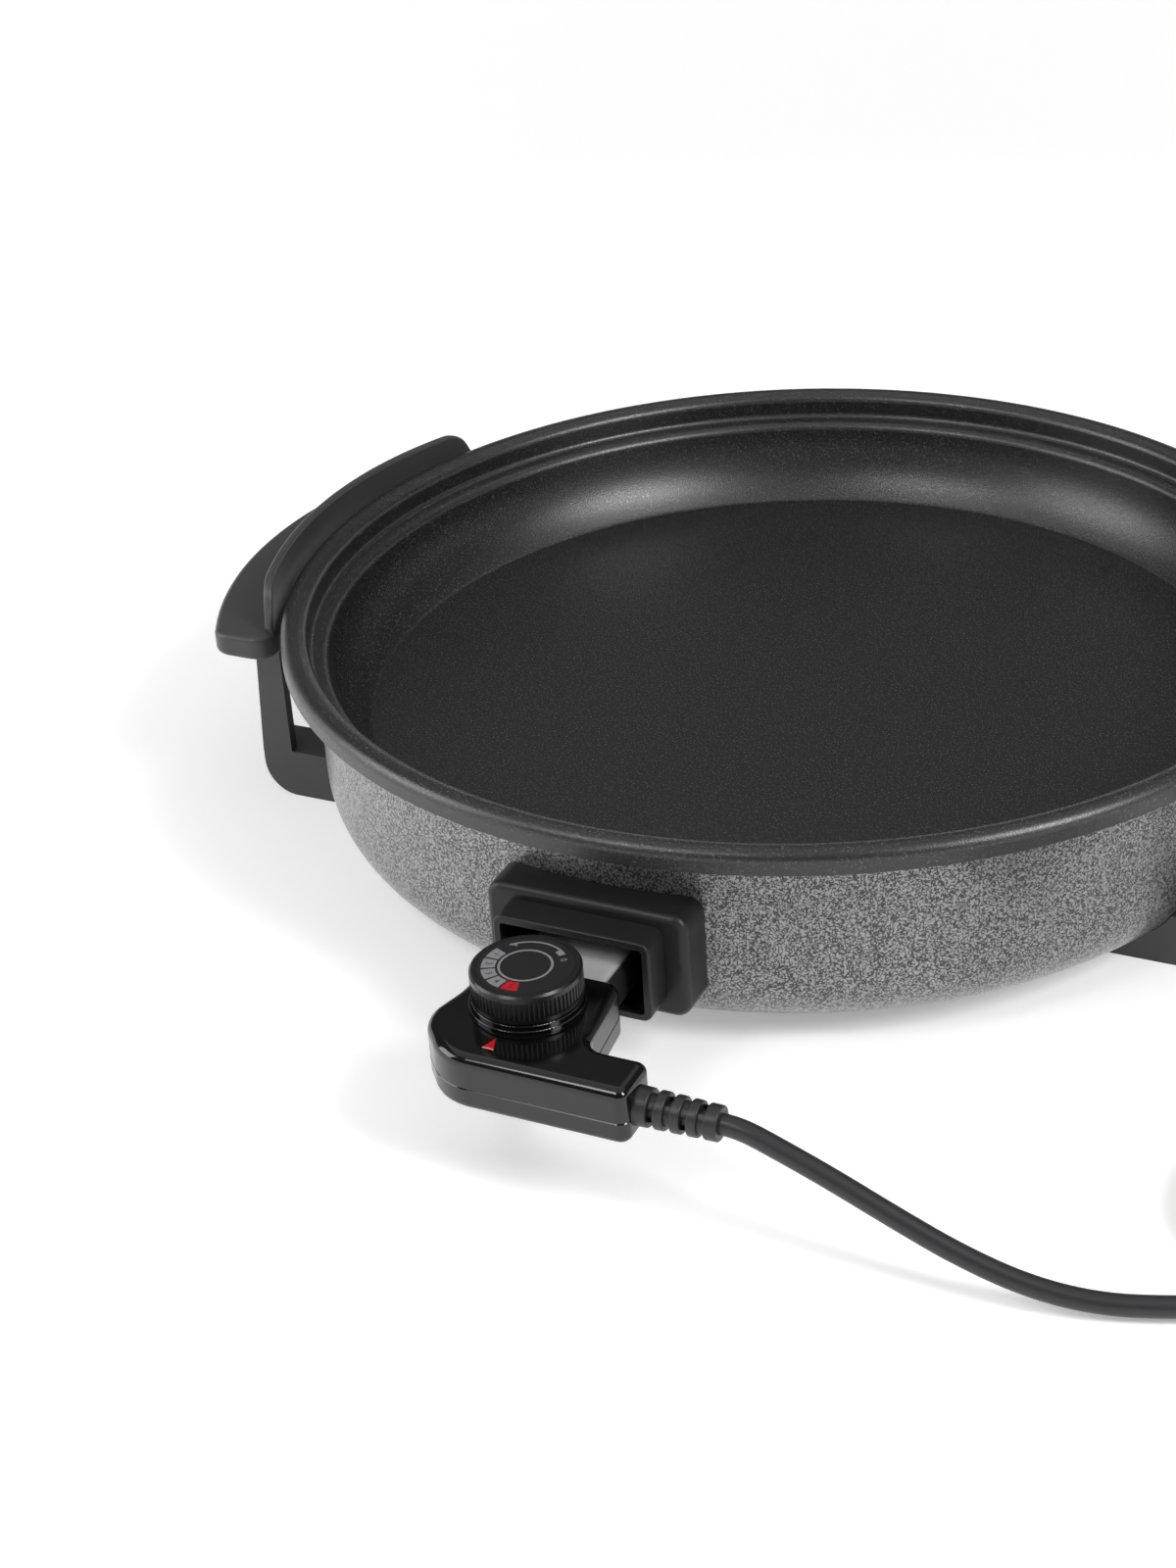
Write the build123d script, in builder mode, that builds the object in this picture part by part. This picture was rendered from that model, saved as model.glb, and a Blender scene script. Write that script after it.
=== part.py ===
"""Round electric party pan: non-stick bowl, outer shell, plug-in thermostat control and mains lead.

Millimetres. The origin is the centre of the cooking surface, +Z is up, the socket faces -Y and the
handles are on -X and +X.
"""
import os
from math import atan2, ceil, cos, pi, radians, sin, sqrt, tan

from build123d import *

os.makedirs("parts", exist_ok=True)

# Clearances
FIT_GAP = 0.1
SEAT_GAP = 0.2
RUNNING_GAP = 0.05
PLUG_GAP = 0.3

# Cooking pan, from its rim inwards
RIM_RADIUS = 205.0
PAN_DEPTH = 44.0
PAN_WALL = 2.4
FLOOR_INSET = 31.0
FLOOR_ROUND = 2.5
WALL_INSET = 18.2
WALL_RISE = 12.8
WALL_BOW = 40.0
LEDGE_INSET = 17.5
LEDGE_DROP = 12.5
LEDGE_FALL = 1.5
LEDGE_WIDTH = 7.0
LEDGE_EDGE_ROUND = 3.6
LEDGE_ROUND = 2.4
BEAD_WIDTH = 10.4
BEAD_FALL = 2.3
BEAD_CREST = 6.4
BEAD_INNER_ROUND = 3.6
BEAD_TOP_ROUND = 6.0
BEAD_OUTER_ROUND = 4.5
LIP_HEIGHT = 8.6

# Outer shell
STAND_HEIGHT = 90.5
FOOT_LIFT = 6.5
SHELL_INSET = 12.0
SHELL_WALL = 1.2
SHELL_ROUND = 26.0

# Heating element and what holds it
ELEMENT_DIAMETER = 8.0
ELEMENT_INSET = 66.0
ELEMENT_BEND = 14.0
STUD_INSET = 22.0
STUD_COUNT = 3
STUD_DIAMETER = 6.0
NUT_FLATS = 10.0
NUT_HEIGHT = 4.8
CLAMP_STRIP = 1.5
CLAMP_WIDTH = 14.0
CLAMP_HEEL = 16.0
SPREADER_SHEET = 1.0
SPREADER_INSET = 24.0
SPREADER_NOTCH = 46.0
SPACER_DIAMETER = 10.0

# Socket on the front wall
FLANGE_PROUD = 12.0
FLANGE_WIDTH = 75.0
FLANGE_HEIGHT = 40.5
FLANGE_CORNER = 6.0
FLANGE_ROUND = 3.0
SOCKET_RISE = 4.7
COLLAR_REACH = 11.5
COLLAR_WIDTH = 58.0
COLLAR_HEIGHT = 31.0
COLLAR_CORNER = 4.0
COLLAR_WALL = 2.7
BOSS_DIAMETER = 9.0
BOSS_MARGIN = 0.4
BOSS_DEPTH = 9.0
WINDOW_MARGIN = 1.0
WINDOW_HEIGHT = 26.0
SOCKET_SCREW = 3.5
SCREW_DEPTH = 10.0
PIN_DIAMETER = 4.6
PIN_SPACING = 24.0
PIN_LENGTH = 28.0
BUSH_DIAMETER = 7.4
BUSH_LENGTH = 5.0
SHEATH_PROUD = 2.0
PLATE_SHEET = 1.5
PLATE_MARGIN = 2.5
PLATE_HEIGHT = 25.0
EARTH_STRIP = 0.6
EARTH_WIDTH = 10.0
EARTH_RISE = 1.0

# Probe and the well it slides into
PROBE_DIAMETER = 6.4
PROBE_DEPTH = 65.0
WELL_WALL = 0.55
WELL_END = 2.0
STRAP_SHEET = 1.0
STRAP_EAR = 2.4
STRAP_WIDTH = 10.0
STRAP_BACK = 14.0

# Handles
WING_DROP = 13.0
WING_THICK = 10.0
WING_REACH = 36.0
WING_BOW = 180.0
WING_GAP = 3.0
WING_LENGTH = 190.0
WING_CORNER = 9.0
WING_ROUND = 2.5
GUARD_GAP = 5.0
GUARD_THICK = 3.6
GUARD_INSET = 7.0
GUARD_SHOULDER = 8.0
GUARD_RISE = 7.0
GUARD_CROWN = 1.5
GUARD_END_RISE = 2.0
GUARD_ROUND = 12.0
LEG_GAP = 0.5
LEG_DEPTH = 10.5
LEG_SPREAD = 3.0
LEG_INSET = 13.0
LEG_THICK = 4.0
LEG_ROUND = 14.0
ARM_WIDTH = 20.0
ARM_HEIGHT = 20.5
FOOT_INSET = 7.0
ARM_TAIL = 8.0
FOOT_SCREW = 5.0
FOOT_HEAD = 9.0
FOOT_HEAD_HEIGHT = 2.6
FOOT_NUT_FLATS = 8.0
FOOT_NUT_HEIGHT = 4.0

# Control case
CASE_STANDOFF = 11.0
CASE_RISE = 12.5
CASE_HEIGHT = 20.0
CASE_SPLIT = 8.0
CASE_WALL = 2.0
CASE_SEAM = 0.3
CASE_TOP_ROUND = 3.5
CASE_BOTTOM_ROUND = 2.5
STEM_HALF = 24.0
STEM_FLARE = 4.0
STEM_LENGTH = 36.3
ARM_DEPTH = 19.7
ARM_LENGTH = 23.0
BULGE_SIDE = 5.0
BULGE_WAIST = 20.5
BULGE_PLACE = 38.5
BULGE_FRONT = 10.0
CASE_CORNERS = [5.0, 5.0, 8.0, 4.0, 4.0, 20.0, 14.0, 30.0]
CASE_SCREW = 2.6
CASE_SCREW_HEAD = 5.0
CASE_HEAD_DEPTH = 3.0
CASE_POST = 6.5
POST_OFFSETS = [(-20.0, 35.5), (18.0, 29.5), (11.0, 49.5)]

# Plug end of the control
SLEEVE_DEPTH = 6.0
SLEEVE_GRIP = 7.5
SLEEVE_HALF = 19.2
SLEEVE_RISE = 9.5
SLEEVE_HEIGHT = 15.5
SLEEVE_CORNER = 4.5
SLEEVE_SHEET = 1.0
CARRIER_SET_BACK = 4.0
CARRIER_TAIL = 1.0
CONTACT_WALL = 1.0
CONTACT_SET_BACK = 2.0
CONTACT_TAIL = 2.0

# Thermostat inside the control
FRAME_SHEET = 1.2
FRAME_WIDTH = 16.0
FRAME_LENGTH = 22.2
PROBE_TAIL = 6.0
BLADE_WIDTH = 6.0
BLADE_SHEET = 0.6
BLADE_LENGTH = 16.0
STACK_LENGTH = 5.0
STACK_SLICE = 0.9
SPINDLE_TIP_GAP = 0.8
LAMP_DIAMETER = 4.0
LAMP_LENGTH = 11.0
LAMP_HOLDER = 1.5
LENS_FLANGE = 0.8
LENS_WIDTH = 4.2
LENS_LENGTH = 6.0
LENS_AHEAD = 25.8
LENS_PROUD = 0.5

# Knob
KNOB_AHEAD = 20.0
KNOB_RADIUS = 18.5
KNOB_HEIGHT = 10.4
KNOB_FOOT = 1.4
KNOB_BAND = 2.6
KNOB_CHAMFER = 0.7
RIB_COUNT = 72
RIB_DEPTH = 0.5
RIB_GROOVE = 0.8
DIAL_RADIUS = 16.2
DIAL_SHEET = 0.8
RING_HEIGHT = 2.5
RING_STEP = 1.1
RING_WIDE = 1.0
KNOB_LIFT = 0.6
SPINDLE_DIAMETER = 6.0
SPINDLE_GRIP = 7.0
BUSH_WALL = 2.0
BUSH_DROP = 3.0

# Lead inside the control
RELIEF_DIAMETER = 13.0
RELIEF_END = 11.6
RELIEF_WAIST = 9.6
RIB_EDGE = 0.6
RELIEF_LENGTH = 28.0
RELIEF_NECK = 8.6
RELIEF_HEAD = 1.8
RELIEF_HEAD_DIAMETER = 11.0
SLOT_COUNT = 4
SLOT_WIDTH = 2.2
SLOT_PITCH = 5.6
SLOT_FIRST = 5.6
SLOT_SPAN = 5.0
STUB_LENGTH = 11.0
BLOCK_INSET = 23.0
BLOCK_LENGTH = 11.0
BLOCK_WIDTH = 10.0
BLOCK_HEIGHT = 8.0
BLOCK_BORE = 2.4
CLAMP_BAR = 5.0
BAR_INSET = 9.0
BAR_SPREAD = 11.2
BAR_POST = 3.8
BAR_SHEET = 2.2
BAR_SCREW = 2.0
BAR_SCREW_HEAD = 3.6
BAR_SCREW_LENGTH = 7.0
BAR_HEAD_HEIGHT = 1.6

# Mains lead: steps from the strain relief outwards, sideways and as a share of the drop to the table
CORD_DIAMETER = 7.0
CORD_RISE = 1.5
CORD_STEPS = [
    (0.0, 0.0, 0.0), (12.0, 0.0, 0.0), (27.0, -0.6, 0.15), (46.0, -1.8, 0.42), (68.0, -3.0, 0.72),
    (92.0, -2.4, 0.94), (116.0, 0.6, 1.0), (139.0, 7.6, 1.0), (162.0, 17.1, 1.0), (186.0, 25.1, 1.0),
]
COIL_TURNS = 4.2
COIL_RADIUS = 45.5
COIL_STEP = 7.8
TIE_SHEET = 1.0
TIE_WIDTH = 6.0
TIE_GAP = 0.6
TIE_TURN = 200.0

# Mains plug
PLUG_DIAMETER = 38.0
PLUG_THICK = 24.0
PLUG_ROUND = 2.5
PLUG_SLEEVE = 28.0
PLUG_SLEEVE_THIN = 9.0
PLUG_SLEEVE_THICK = 13.0
PLUG_PIN = 4.8
PLUG_PIN_LENGTH = 19.0
PLUG_PIN_SPACING = 19.0
CLIP_WIDTH = 6.0
CLIP_HEIGHT = 15.0
CLIP_SHEET = 1.0

# Heights that follow from the sizes above
RIM_Z = PAN_DEPTH
LEDGE_Z = RIM_Z - LEDGE_DROP
TABLE_Z = RIM_Z - STAND_HEIGHT
SHELL_Z = TABLE_Z + FOOT_LIFT
SHELL_INSIDE = SHELL_Z + SHELL_WALL
PAN_UNDER = -PAN_WALL
TERMINAL_Z = PAN_UNDER - FIT_GAP - ELEMENT_DIAMETER / 2
SOCKET_Z = TERMINAL_Z + SOCKET_RISE
CASE_TOP = TERMINAL_Z + CASE_RISE
CASE_BOTTOM = CASE_TOP - CASE_HEIGHT
SPLIT_Z = CASE_BOTTOM + CASE_SPLIT
CASE_FLOOR = CASE_BOTTOM + CASE_WALL
CASE_ROOF = CASE_TOP - CASE_WALL
SLEEVE_Z = TERMINAL_Z + SLEEVE_RISE - SLEEVE_HEIGHT / 2
CORD_Z = SPLIT_Z + CORD_RISE
KNOB_Z = CASE_TOP + RING_HEIGHT + KNOB_LIFT
KNOB_TOP = KNOB_Z + KNOB_HEIGHT

# Distances from the pan's axis that follow from the sizes above
FLOOR_RADIUS = RIM_RADIUS - FLOOR_INSET
LEDGE_RADIUS = RIM_RADIUS - LEDGE_INSET
LEDGE_SLOPE = LEDGE_FALL / LEDGE_WIDTH
SHELL_RADIUS = RIM_RADIUS - SHELL_INSET
SHELL_TOP_RADIUS = SHELL_RADIUS - SHELL_WALL
SHELL_TOP = (LEDGE_Z + LEDGE_SLOPE * (SHELL_TOP_RADIUS - LEDGE_RADIUS)
             - PAN_WALL * sqrt(1 + LEDGE_SLOPE ** 2) - FIT_GAP)
ELEMENT_RADIUS = FLOOR_RADIUS - ELEMENT_INSET
STUD_RADIUS = ELEMENT_RADIUS - STUD_INSET
SPREADER_RADIUS = FLOOR_RADIUS - SPREADER_INSET
FLANGE_FRONT = SHELL_RADIUS + FLANGE_PROUD
BOSS_BACK = SHELL_RADIUS - BOSS_DEPTH
PROBE_TIP = SHELL_RADIUS - PROBE_DEPTH
COLLAR_FRONT = FLANGE_FRONT + COLLAR_REACH
CASE_REAR = COLLAR_FRONT + CASE_STANDOFF
ARM_REAR = CASE_REAR + STEM_LENGTH
ARM_FRONT = ARM_REAR + ARM_DEPTH
ARM_END = STEM_HALF + STEM_FLARE + ARM_LENGTH
KNOB_PLACE = CASE_REAR + KNOB_AHEAD
LENS_PLACE = KNOB_PLACE + LENS_AHEAD
SLEEVE_FRONT = FLANGE_FRONT - SLEEVE_DEPTH
SLEEVE_BACK = CASE_REAR + SLEEVE_GRIP
PROBE_END = SLEEVE_BACK + PROBE_TAIL
FRAME_FRONT = PROBE_END - FRAME_SHEET
FRAME_BACK = FRAME_FRONT + FRAME_LENGTH
CORD_Y = -(ARM_REAR + ARM_FRONT) / 2
CASE_POSTS = [(x, -(CASE_REAR + ahead)) for x, ahead in POST_OFFSETS]
LEG_INNER = SHELL_RADIUS + LEG_GAP
LEG_NEAR = WING_LENGTH / 2 - LEG_INSET
FOOT_PITCH_Y = 2 * LEG_NEAR - ARM_WIDTH
FOOT_SCREW_X = sqrt((SHELL_RADIUS - SHELL_ROUND - FOOT_INSET) ** 2 - (FOOT_PITCH_Y / 2) ** 2)
FOOT_PITCH_X = 2 * FOOT_SCREW_X
ARM_TIP = FOOT_SCREW_X - ARM_TAIL
BOSS_SPACING = COLLAR_WIDTH - 2 * COLLAR_WALL + BOSS_DIAMETER + BOSS_MARGIN
WINDOW_WIDTH = BOSS_SPACING + BOSS_DIAMETER + 2 * WINDOW_MARGIN
PLATE_WIDTH = BOSS_SPACING + BOSS_DIAMETER + 2 * PLATE_MARGIN
SOCKET_FACE = Plane(origin=(0, -FLANGE_FRONT, SOCKET_Z), x_dir=(1, 0, 0), z_dir=(0, -1, 0))


def facing_front(y, z, x=0):
    """A plane square to Y at depth y, with local X along +X and local Y up; its normal is -Y."""
    return Plane(origin=(x, -y, z), x_dir=(1, 0, 0), z_dir=(0, -1, 0))


def sheet_underside(points, rounds, wall):
    """Corners and corner radii of a sheet's other side, which lies to the right of the given side."""
    corners = [Vector(*point) for point in points]
    ways = [(there - here).normalized() for here, there in zip(corners, corners[1:])]
    rights = [Vector(way.Y, -way.X) for way in ways]
    under = [corners[0] + rights[0] * wall]
    for corner, before, after in zip(corners[1:], rights, rights[1:]):
        under.append(corner + (before + after) * (wall / (1 + before.dot(after))))
    under.append(corners[-1] + rights[-1] * wall)
    turns = [before.cross(after).Z for before, after in zip(ways, ways[1:])]
    return under, [size + wall if turn > 0 else size - wall for size, turn in zip(rounds, turns)]


# Cooking pan: one pressed sheet from the floor to the rolled rim
PAN_CORNERS = [
    (0, 0), (FLOOR_RADIUS, 0), (RIM_RADIUS - WALL_INSET, WALL_RISE), (LEDGE_RADIUS, LEDGE_Z),
    (LEDGE_RADIUS + LEDGE_WIDTH, LEDGE_Z + LEDGE_FALL), (RIM_RADIUS - BEAD_WIDTH, RIM_Z - BEAD_FALL),
    (RIM_RADIUS - BEAD_CREST, RIM_Z), (RIM_RADIUS, RIM_Z), (RIM_RADIUS, RIM_Z - LIP_HEIGHT)]
PAN_ROUNDS = [
    FLOOR_ROUND, WALL_BOW, LEDGE_EDGE_ROUND, LEDGE_ROUND, BEAD_INNER_ROUND, BEAD_TOP_ROUND, BEAD_OUTER_ROUND]
with BuildPart() as cooking_pan:
    with BuildSketch(Plane.XZ):
        with BuildLine():
            inside = FilletPolyline(*PAN_CORNERS, radius=PAN_ROUNDS)
            under_corners, under_rounds = sheet_underside(PAN_CORNERS, PAN_ROUNDS, PAN_WALL)
            underside = FilletPolyline(*under_corners, radius=under_rounds)
            Line(inside @ 0, underside @ 0)
            Line(inside @ 1, underside @ 1)
        make_face()
    revolve(axis=Axis.Z)

# Outer shell: a pressed cup with a window for the socket and holes for its fasteners
with BuildPart() as outer_shell:
    with BuildSketch(Plane.XZ):
        with BuildLine():
            FilletPolyline(
                (0, SHELL_Z), (SHELL_RADIUS, SHELL_Z), (SHELL_RADIUS, SHELL_TOP), radius=SHELL_ROUND)
            offset(amount=SHELL_WALL, side=Side.LEFT)
        make_face()
    revolve(axis=Axis.Z)
    with BuildSketch(SOCKET_FACE):
        RectangleRounded(WINDOW_WIDTH, WINDOW_HEIGHT, BOSS_DIAMETER / 2)
    extrude(amount=-(FLANGE_FRONT - ELEMENT_RADIUS), mode=Mode.SUBTRACT)
    with BuildSketch(Plane.XY.offset(SHELL_Z)):
        with PolarLocations(STUD_RADIUS, STUD_COUNT, start_angle=90):
            Circle(STUD_DIAMETER / 2 + FIT_GAP)
        with GridLocations(FOOT_PITCH_X, FOOT_PITCH_Y, 2, 2):
            Circle(FOOT_SCREW / 2 + FIT_GAP)
    extrude(amount=SHELL_WALL, mode=Mode.SUBTRACT)

# Space that the shell takes up, with a seating gap around it
with BuildPart() as shell_space:
    with BuildSketch(Plane.XZ):
        with BuildLine():
            around = FilletPolyline(
                (0, SHELL_Z - SEAT_GAP), (SHELL_RADIUS + SEAT_GAP, SHELL_Z - SEAT_GAP),
                (SHELL_RADIUS + SEAT_GAP, SHELL_TOP), radius=SHELL_ROUND + SEAT_GAP)
            Polyline(around @ 1, (0, SHELL_TOP), around @ 0)
        make_face()
    revolve(axis=Axis.Z)

# Heating element: one open ring whose two ends run out to the socket
with BuildPart() as heating_element:
    bend_x = PIN_SPACING / 2 + ELEMENT_BEND
    bend_y = -sqrt((ELEMENT_RADIUS + ELEMENT_BEND) ** 2 - bend_x ** 2)
    share = ELEMENT_RADIUS / (ELEMENT_RADIUS + ELEMENT_BEND)
    sheath_end = -(BOSS_BACK + SHEATH_PROUD)
    leg_x = PIN_SPACING / 2
    join_x = bend_x * share
    join_y = bend_y * share
    with BuildLine() as element_path:
        left_leg = Line((-leg_x, sheath_end, TERMINAL_Z), (-leg_x, bend_y, TERMINAL_Z))
        left_bend = TangentArc(left_leg @ 1, (-join_x, join_y, TERMINAL_Z), tangent=left_leg % 1)
        ring = ThreePointArc(left_bend @ 1, (0, ELEMENT_RADIUS, TERMINAL_Z), (join_x, join_y, TERMINAL_Z))
        right_bend = TangentArc(ring @ 1, (leg_x, bend_y, TERMINAL_Z), tangent=ring % 1)
        Line(right_bend @ 1, (leg_x, sheath_end, TERMINAL_Z))
    with BuildSketch(Plane(origin=left_leg @ 0, z_dir=left_leg % 0)):
        Circle(ELEMENT_DIAMETER / 2)
    sweep(path=element_path.line)

# Studs welded under the pan; each carries a clamp, the heat spreader and the shell
CLAMP_Z = TERMINAL_Z - ELEMENT_DIAMETER / 2 - CLAMP_STRIP - FIT_GAP
SPREADER_Z = CLAMP_Z - NUT_HEIGHT - SPREADER_SHEET
STUD_END = SHELL_Z - NUT_HEIGHT
with BuildPart() as pan_studs:
    with BuildSketch(Plane.XY.offset(STUD_END)):
        with PolarLocations(STUD_RADIUS, STUD_COUNT, start_angle=90):
            Circle(STUD_DIAMETER / 2)
    extrude(amount=PAN_UNDER - STUD_END)

# Clamp strips that press the ring against the pan, with a heel that bears on the pan
with BuildPart() as clamp_strip:
    with BuildSketch(Plane.XZ):
        with BuildLine():
            Polyline(
                (STUD_RADIUS - CLAMP_HEEL, CLAMP_Z),
                (ELEMENT_RADIUS + ELEMENT_DIAMETER, CLAMP_Z),
                (ELEMENT_RADIUS + ELEMENT_DIAMETER, CLAMP_Z + CLAMP_STRIP),
                (STUD_RADIUS - CLAMP_HEEL + CLAMP_STRIP, CLAMP_Z + CLAMP_STRIP),
                (STUD_RADIUS - CLAMP_HEEL + CLAMP_STRIP, PAN_UNDER),
                (STUD_RADIUS - CLAMP_HEEL, PAN_UNDER), close=True)
        make_face()
    extrude(amount=CLAMP_WIDTH / 2, both=True)
    with Locations((STUD_RADIUS, 0, CLAMP_Z)):
        Cylinder(STUD_DIAMETER / 2 + FIT_GAP, 4 * CLAMP_STRIP, mode=Mode.SUBTRACT)
with BuildPart() as element_clamps:
    with PolarLocations(0, STUD_COUNT, start_angle=90):
        add(clamp_strip.part)


def stud_nuts(top):
    """Hexagon nuts on every stud, hanging below the given level."""
    with BuildPart() as nuts:
        with BuildSketch(Plane.XY.offset(top - NUT_HEIGHT)):
            with PolarLocations(STUD_RADIUS, STUD_COUNT, start_angle=90):
                RegularPolygon(NUT_FLATS / 2, 6, major_radius=False)
                Circle(STUD_DIAMETER / 2 + FIT_GAP, mode=Mode.SUBTRACT)
        extrude(amount=NUT_HEIGHT)
    return nuts


clamp_nuts = stud_nuts(CLAMP_Z)
base_nuts = stud_nuts(SHELL_Z)

# Heat spreader: a thin disc under the element, notched where the probe and the ends pass
with BuildPart() as heat_spreader:
    with BuildSketch(Plane.XY.offset(SPREADER_Z)):
        Circle(SPREADER_RADIUS)
        with PolarLocations(STUD_RADIUS, STUD_COUNT, start_angle=90):
            Circle(STUD_DIAMETER / 2 + FIT_GAP, mode=Mode.SUBTRACT)
        with Locations((0, -SPREADER_RADIUS)):
            Rectangle(SPREADER_NOTCH, SPREADER_NOTCH, mode=Mode.SUBTRACT)
    extrude(amount=SPREADER_SHEET)

# Spacer tubes that carry the shell below the spreader
with BuildPart() as shell_spacers:
    with BuildSketch(Plane.XY.offset(SHELL_INSIDE)):
        with PolarLocations(STUD_RADIUS, STUD_COUNT, start_angle=90):
            Circle(SPACER_DIAMETER / 2)
            Circle(STUD_DIAMETER / 2 + FIT_GAP, mode=Mode.SUBTRACT)
    extrude(amount=SPREADER_Z - SHELL_INSIDE)

# Socket housing: flange bedded on the shell, raised collar and two bosses through the window
BOSS_PLACES = [(-BOSS_SPACING / 2, 0), (BOSS_SPACING / 2, 0)]
OPENING_WIDTH = COLLAR_WIDTH - 2 * COLLAR_WALL
OPENING_HEIGHT = COLLAR_HEIGHT - 2 * COLLAR_WALL
with BuildPart() as socket_housing:
    with BuildSketch(SOCKET_FACE):
        RectangleRounded(FLANGE_WIDTH, FLANGE_HEIGHT, FLANGE_CORNER)
    extrude(amount=-(FLANGE_FRONT - BOSS_BACK))
    fillet(faces().sort_by(Axis.Y)[0].edges(), FLANGE_ROUND)
    add(shell_space.part, mode=Mode.SUBTRACT)
    with BuildSketch(SOCKET_FACE):
        RectangleRounded(COLLAR_WIDTH, COLLAR_HEIGHT, COLLAR_CORNER)
    extrude(amount=COLLAR_REACH)
    fillet(faces().sort_by(Axis.Y)[0].edges(), COLLAR_WALL / 3)
    with BuildSketch(SOCKET_FACE):
        with Locations(BOSS_PLACES):
            Circle(BOSS_DIAMETER / 2)
    extrude(amount=-(FLANGE_FRONT - BOSS_BACK))
    with BuildSketch(SOCKET_FACE.offset(COLLAR_REACH)):
        RectangleRounded(OPENING_WIDTH, OPENING_HEIGHT, COLLAR_CORNER - COLLAR_WALL)
    extrude(amount=-(COLLAR_REACH + FLANGE_FRONT - BOSS_BACK), mode=Mode.SUBTRACT)
    with BuildSketch(facing_front(BOSS_BACK, SOCKET_Z)):
        with Locations(BOSS_PLACES):
            Circle(SOCKET_SCREW / 2)
    extrude(amount=SCREW_DEPTH, mode=Mode.SUBTRACT)

# Terminal plate: holds the element's ends and the well behind the window
WELL_BORE = PROBE_DIAMETER / 2 + PLUG_GAP
WELL_RADIUS = WELL_BORE + WELL_WALL
with BuildPart() as terminal_plate:
    with BuildSketch(facing_front(BOSS_BACK, TERMINAL_Z)):
        RectangleRounded(PLATE_WIDTH, PLATE_HEIGHT, FLANGE_ROUND)
        with Locations((-PIN_SPACING / 2, 0), (PIN_SPACING / 2, 0)):
            Circle(ELEMENT_DIAMETER / 2 + FIT_GAP, mode=Mode.SUBTRACT)
        Circle(WELL_RADIUS + FIT_GAP, mode=Mode.SUBTRACT)
        with Locations([(x, y + SOCKET_RISE) for x, y in BOSS_PLACES]):
            Circle(SOCKET_SCREW / 2 + FIT_GAP, mode=Mode.SUBTRACT)
    extrude(amount=-PLATE_SHEET)

# Screws through the terminal plate into the socket's bosses
with BuildPart() as socket_screws:
    with BuildSketch(facing_front(BOSS_BACK - PLATE_SHEET, SOCKET_Z)):
        with Locations(BOSS_PLACES):
            Circle(SOCKET_SCREW / 2)
    extrude(amount=SCREW_DEPTH + PLATE_SHEET - FIT_GAP)
    with BuildSketch(facing_front(BOSS_BACK - PLATE_SHEET, SOCKET_Z)):
        with Locations(BOSS_PLACES):
            Circle(SOCKET_SCREW)
    extrude(amount=-SOCKET_SCREW / 2)

# Ceramic bushes and contact pins on the two ends of the element
PIN_PLACES = [(-PIN_SPACING / 2, 0), (PIN_SPACING / 2, 0)]
with BuildPart() as element_bushes:
    with BuildSketch(facing_front(BOSS_BACK + SHEATH_PROUD, TERMINAL_Z)):
        with Locations(PIN_PLACES):
            Circle(BUSH_DIAMETER / 2)
            Circle(PIN_DIAMETER / 2 + RUNNING_GAP, mode=Mode.SUBTRACT)
    extrude(amount=BUSH_LENGTH)
with BuildPart() as terminal_pins:
    with BuildSketch(facing_front(BOSS_BACK + SHEATH_PROUD, TERMINAL_Z)):
        with Locations(PIN_PLACES):
            Circle(PIN_DIAMETER / 2)
    extrude(amount=PIN_LENGTH)
    chamfer(faces().group_by(Axis.Y)[0].edges(), PIN_DIAMETER / 6)

# Earth strip from the terminal plate along the bottom of the socket's opening
EARTH_Z = SOCKET_Z - OPENING_HEIGHT / 2 + FIT_GAP
with BuildPart() as earth_strip:
    with BuildSketch(Plane.YZ):
        with BuildLine():
            Polyline(
                (-BOSS_BACK, EARTH_Z), (-(FLANGE_FRONT + COLLAR_REACH / 2), EARTH_Z),
                (-(FLANGE_FRONT + COLLAR_REACH / 2), EARTH_Z + EARTH_STRIP),
                (-FLANGE_FRONT, EARTH_Z + EARTH_STRIP + EARTH_RISE),
                (-(FLANGE_FRONT - COLLAR_REACH / 2), EARTH_Z + EARTH_STRIP),
                (-BOSS_BACK, EARTH_Z + EARTH_STRIP), close=True)
        make_face()
    extrude(amount=EARTH_WIDTH / 2, both=True)

# Well for the probe, closed at its inner end, and the strap that holds it to the pan
WELL_TIP = PROBE_TIP - PLUG_GAP - WELL_END
with BuildPart() as sensor_well:
    with BuildSketch(facing_front(BOSS_BACK + SHEATH_PROUD, TERMINAL_Z)):
        Circle(WELL_RADIUS)
    extrude(amount=-(BOSS_BACK + SHEATH_PROUD - WELL_TIP))
    with BuildSketch(facing_front(BOSS_BACK + SHEATH_PROUD, TERMINAL_Z)):
        Circle(WELL_BORE)
    extrude(amount=-(BOSS_BACK + SHEATH_PROUD - WELL_TIP - WELL_END), mode=Mode.SUBTRACT)
with BuildPart() as well_strap:
    saddle = WELL_RADIUS + FIT_GAP
    drop = PAN_UNDER - TERMINAL_Z
    with BuildSketch(facing_front(PROBE_TIP + STRAP_BACK, PAN_UNDER)):
        with Locations((0, -drop)):
            Circle(saddle + STRAP_SHEET)
        with Locations((0, -drop / 2)):
            Rectangle(2 * (saddle + STRAP_SHEET), drop)
        with Locations((0, -STRAP_SHEET / 2)):
            Rectangle(2 * (saddle + STRAP_SHEET + STRAP_EAR), STRAP_SHEET)
        with Locations((0, -drop)):
            Circle(saddle, mode=Mode.SUBTRACT)
        with Locations((0, -drop / 2)):
            Rectangle(2 * saddle, drop, mode=Mode.SUBTRACT)
        with Locations((0, saddle)):
            Rectangle(4 * saddle, 2 * saddle, mode=Mode.SUBTRACT)
    extrude(amount=STRAP_WIDTH / 2, both=True)

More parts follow.
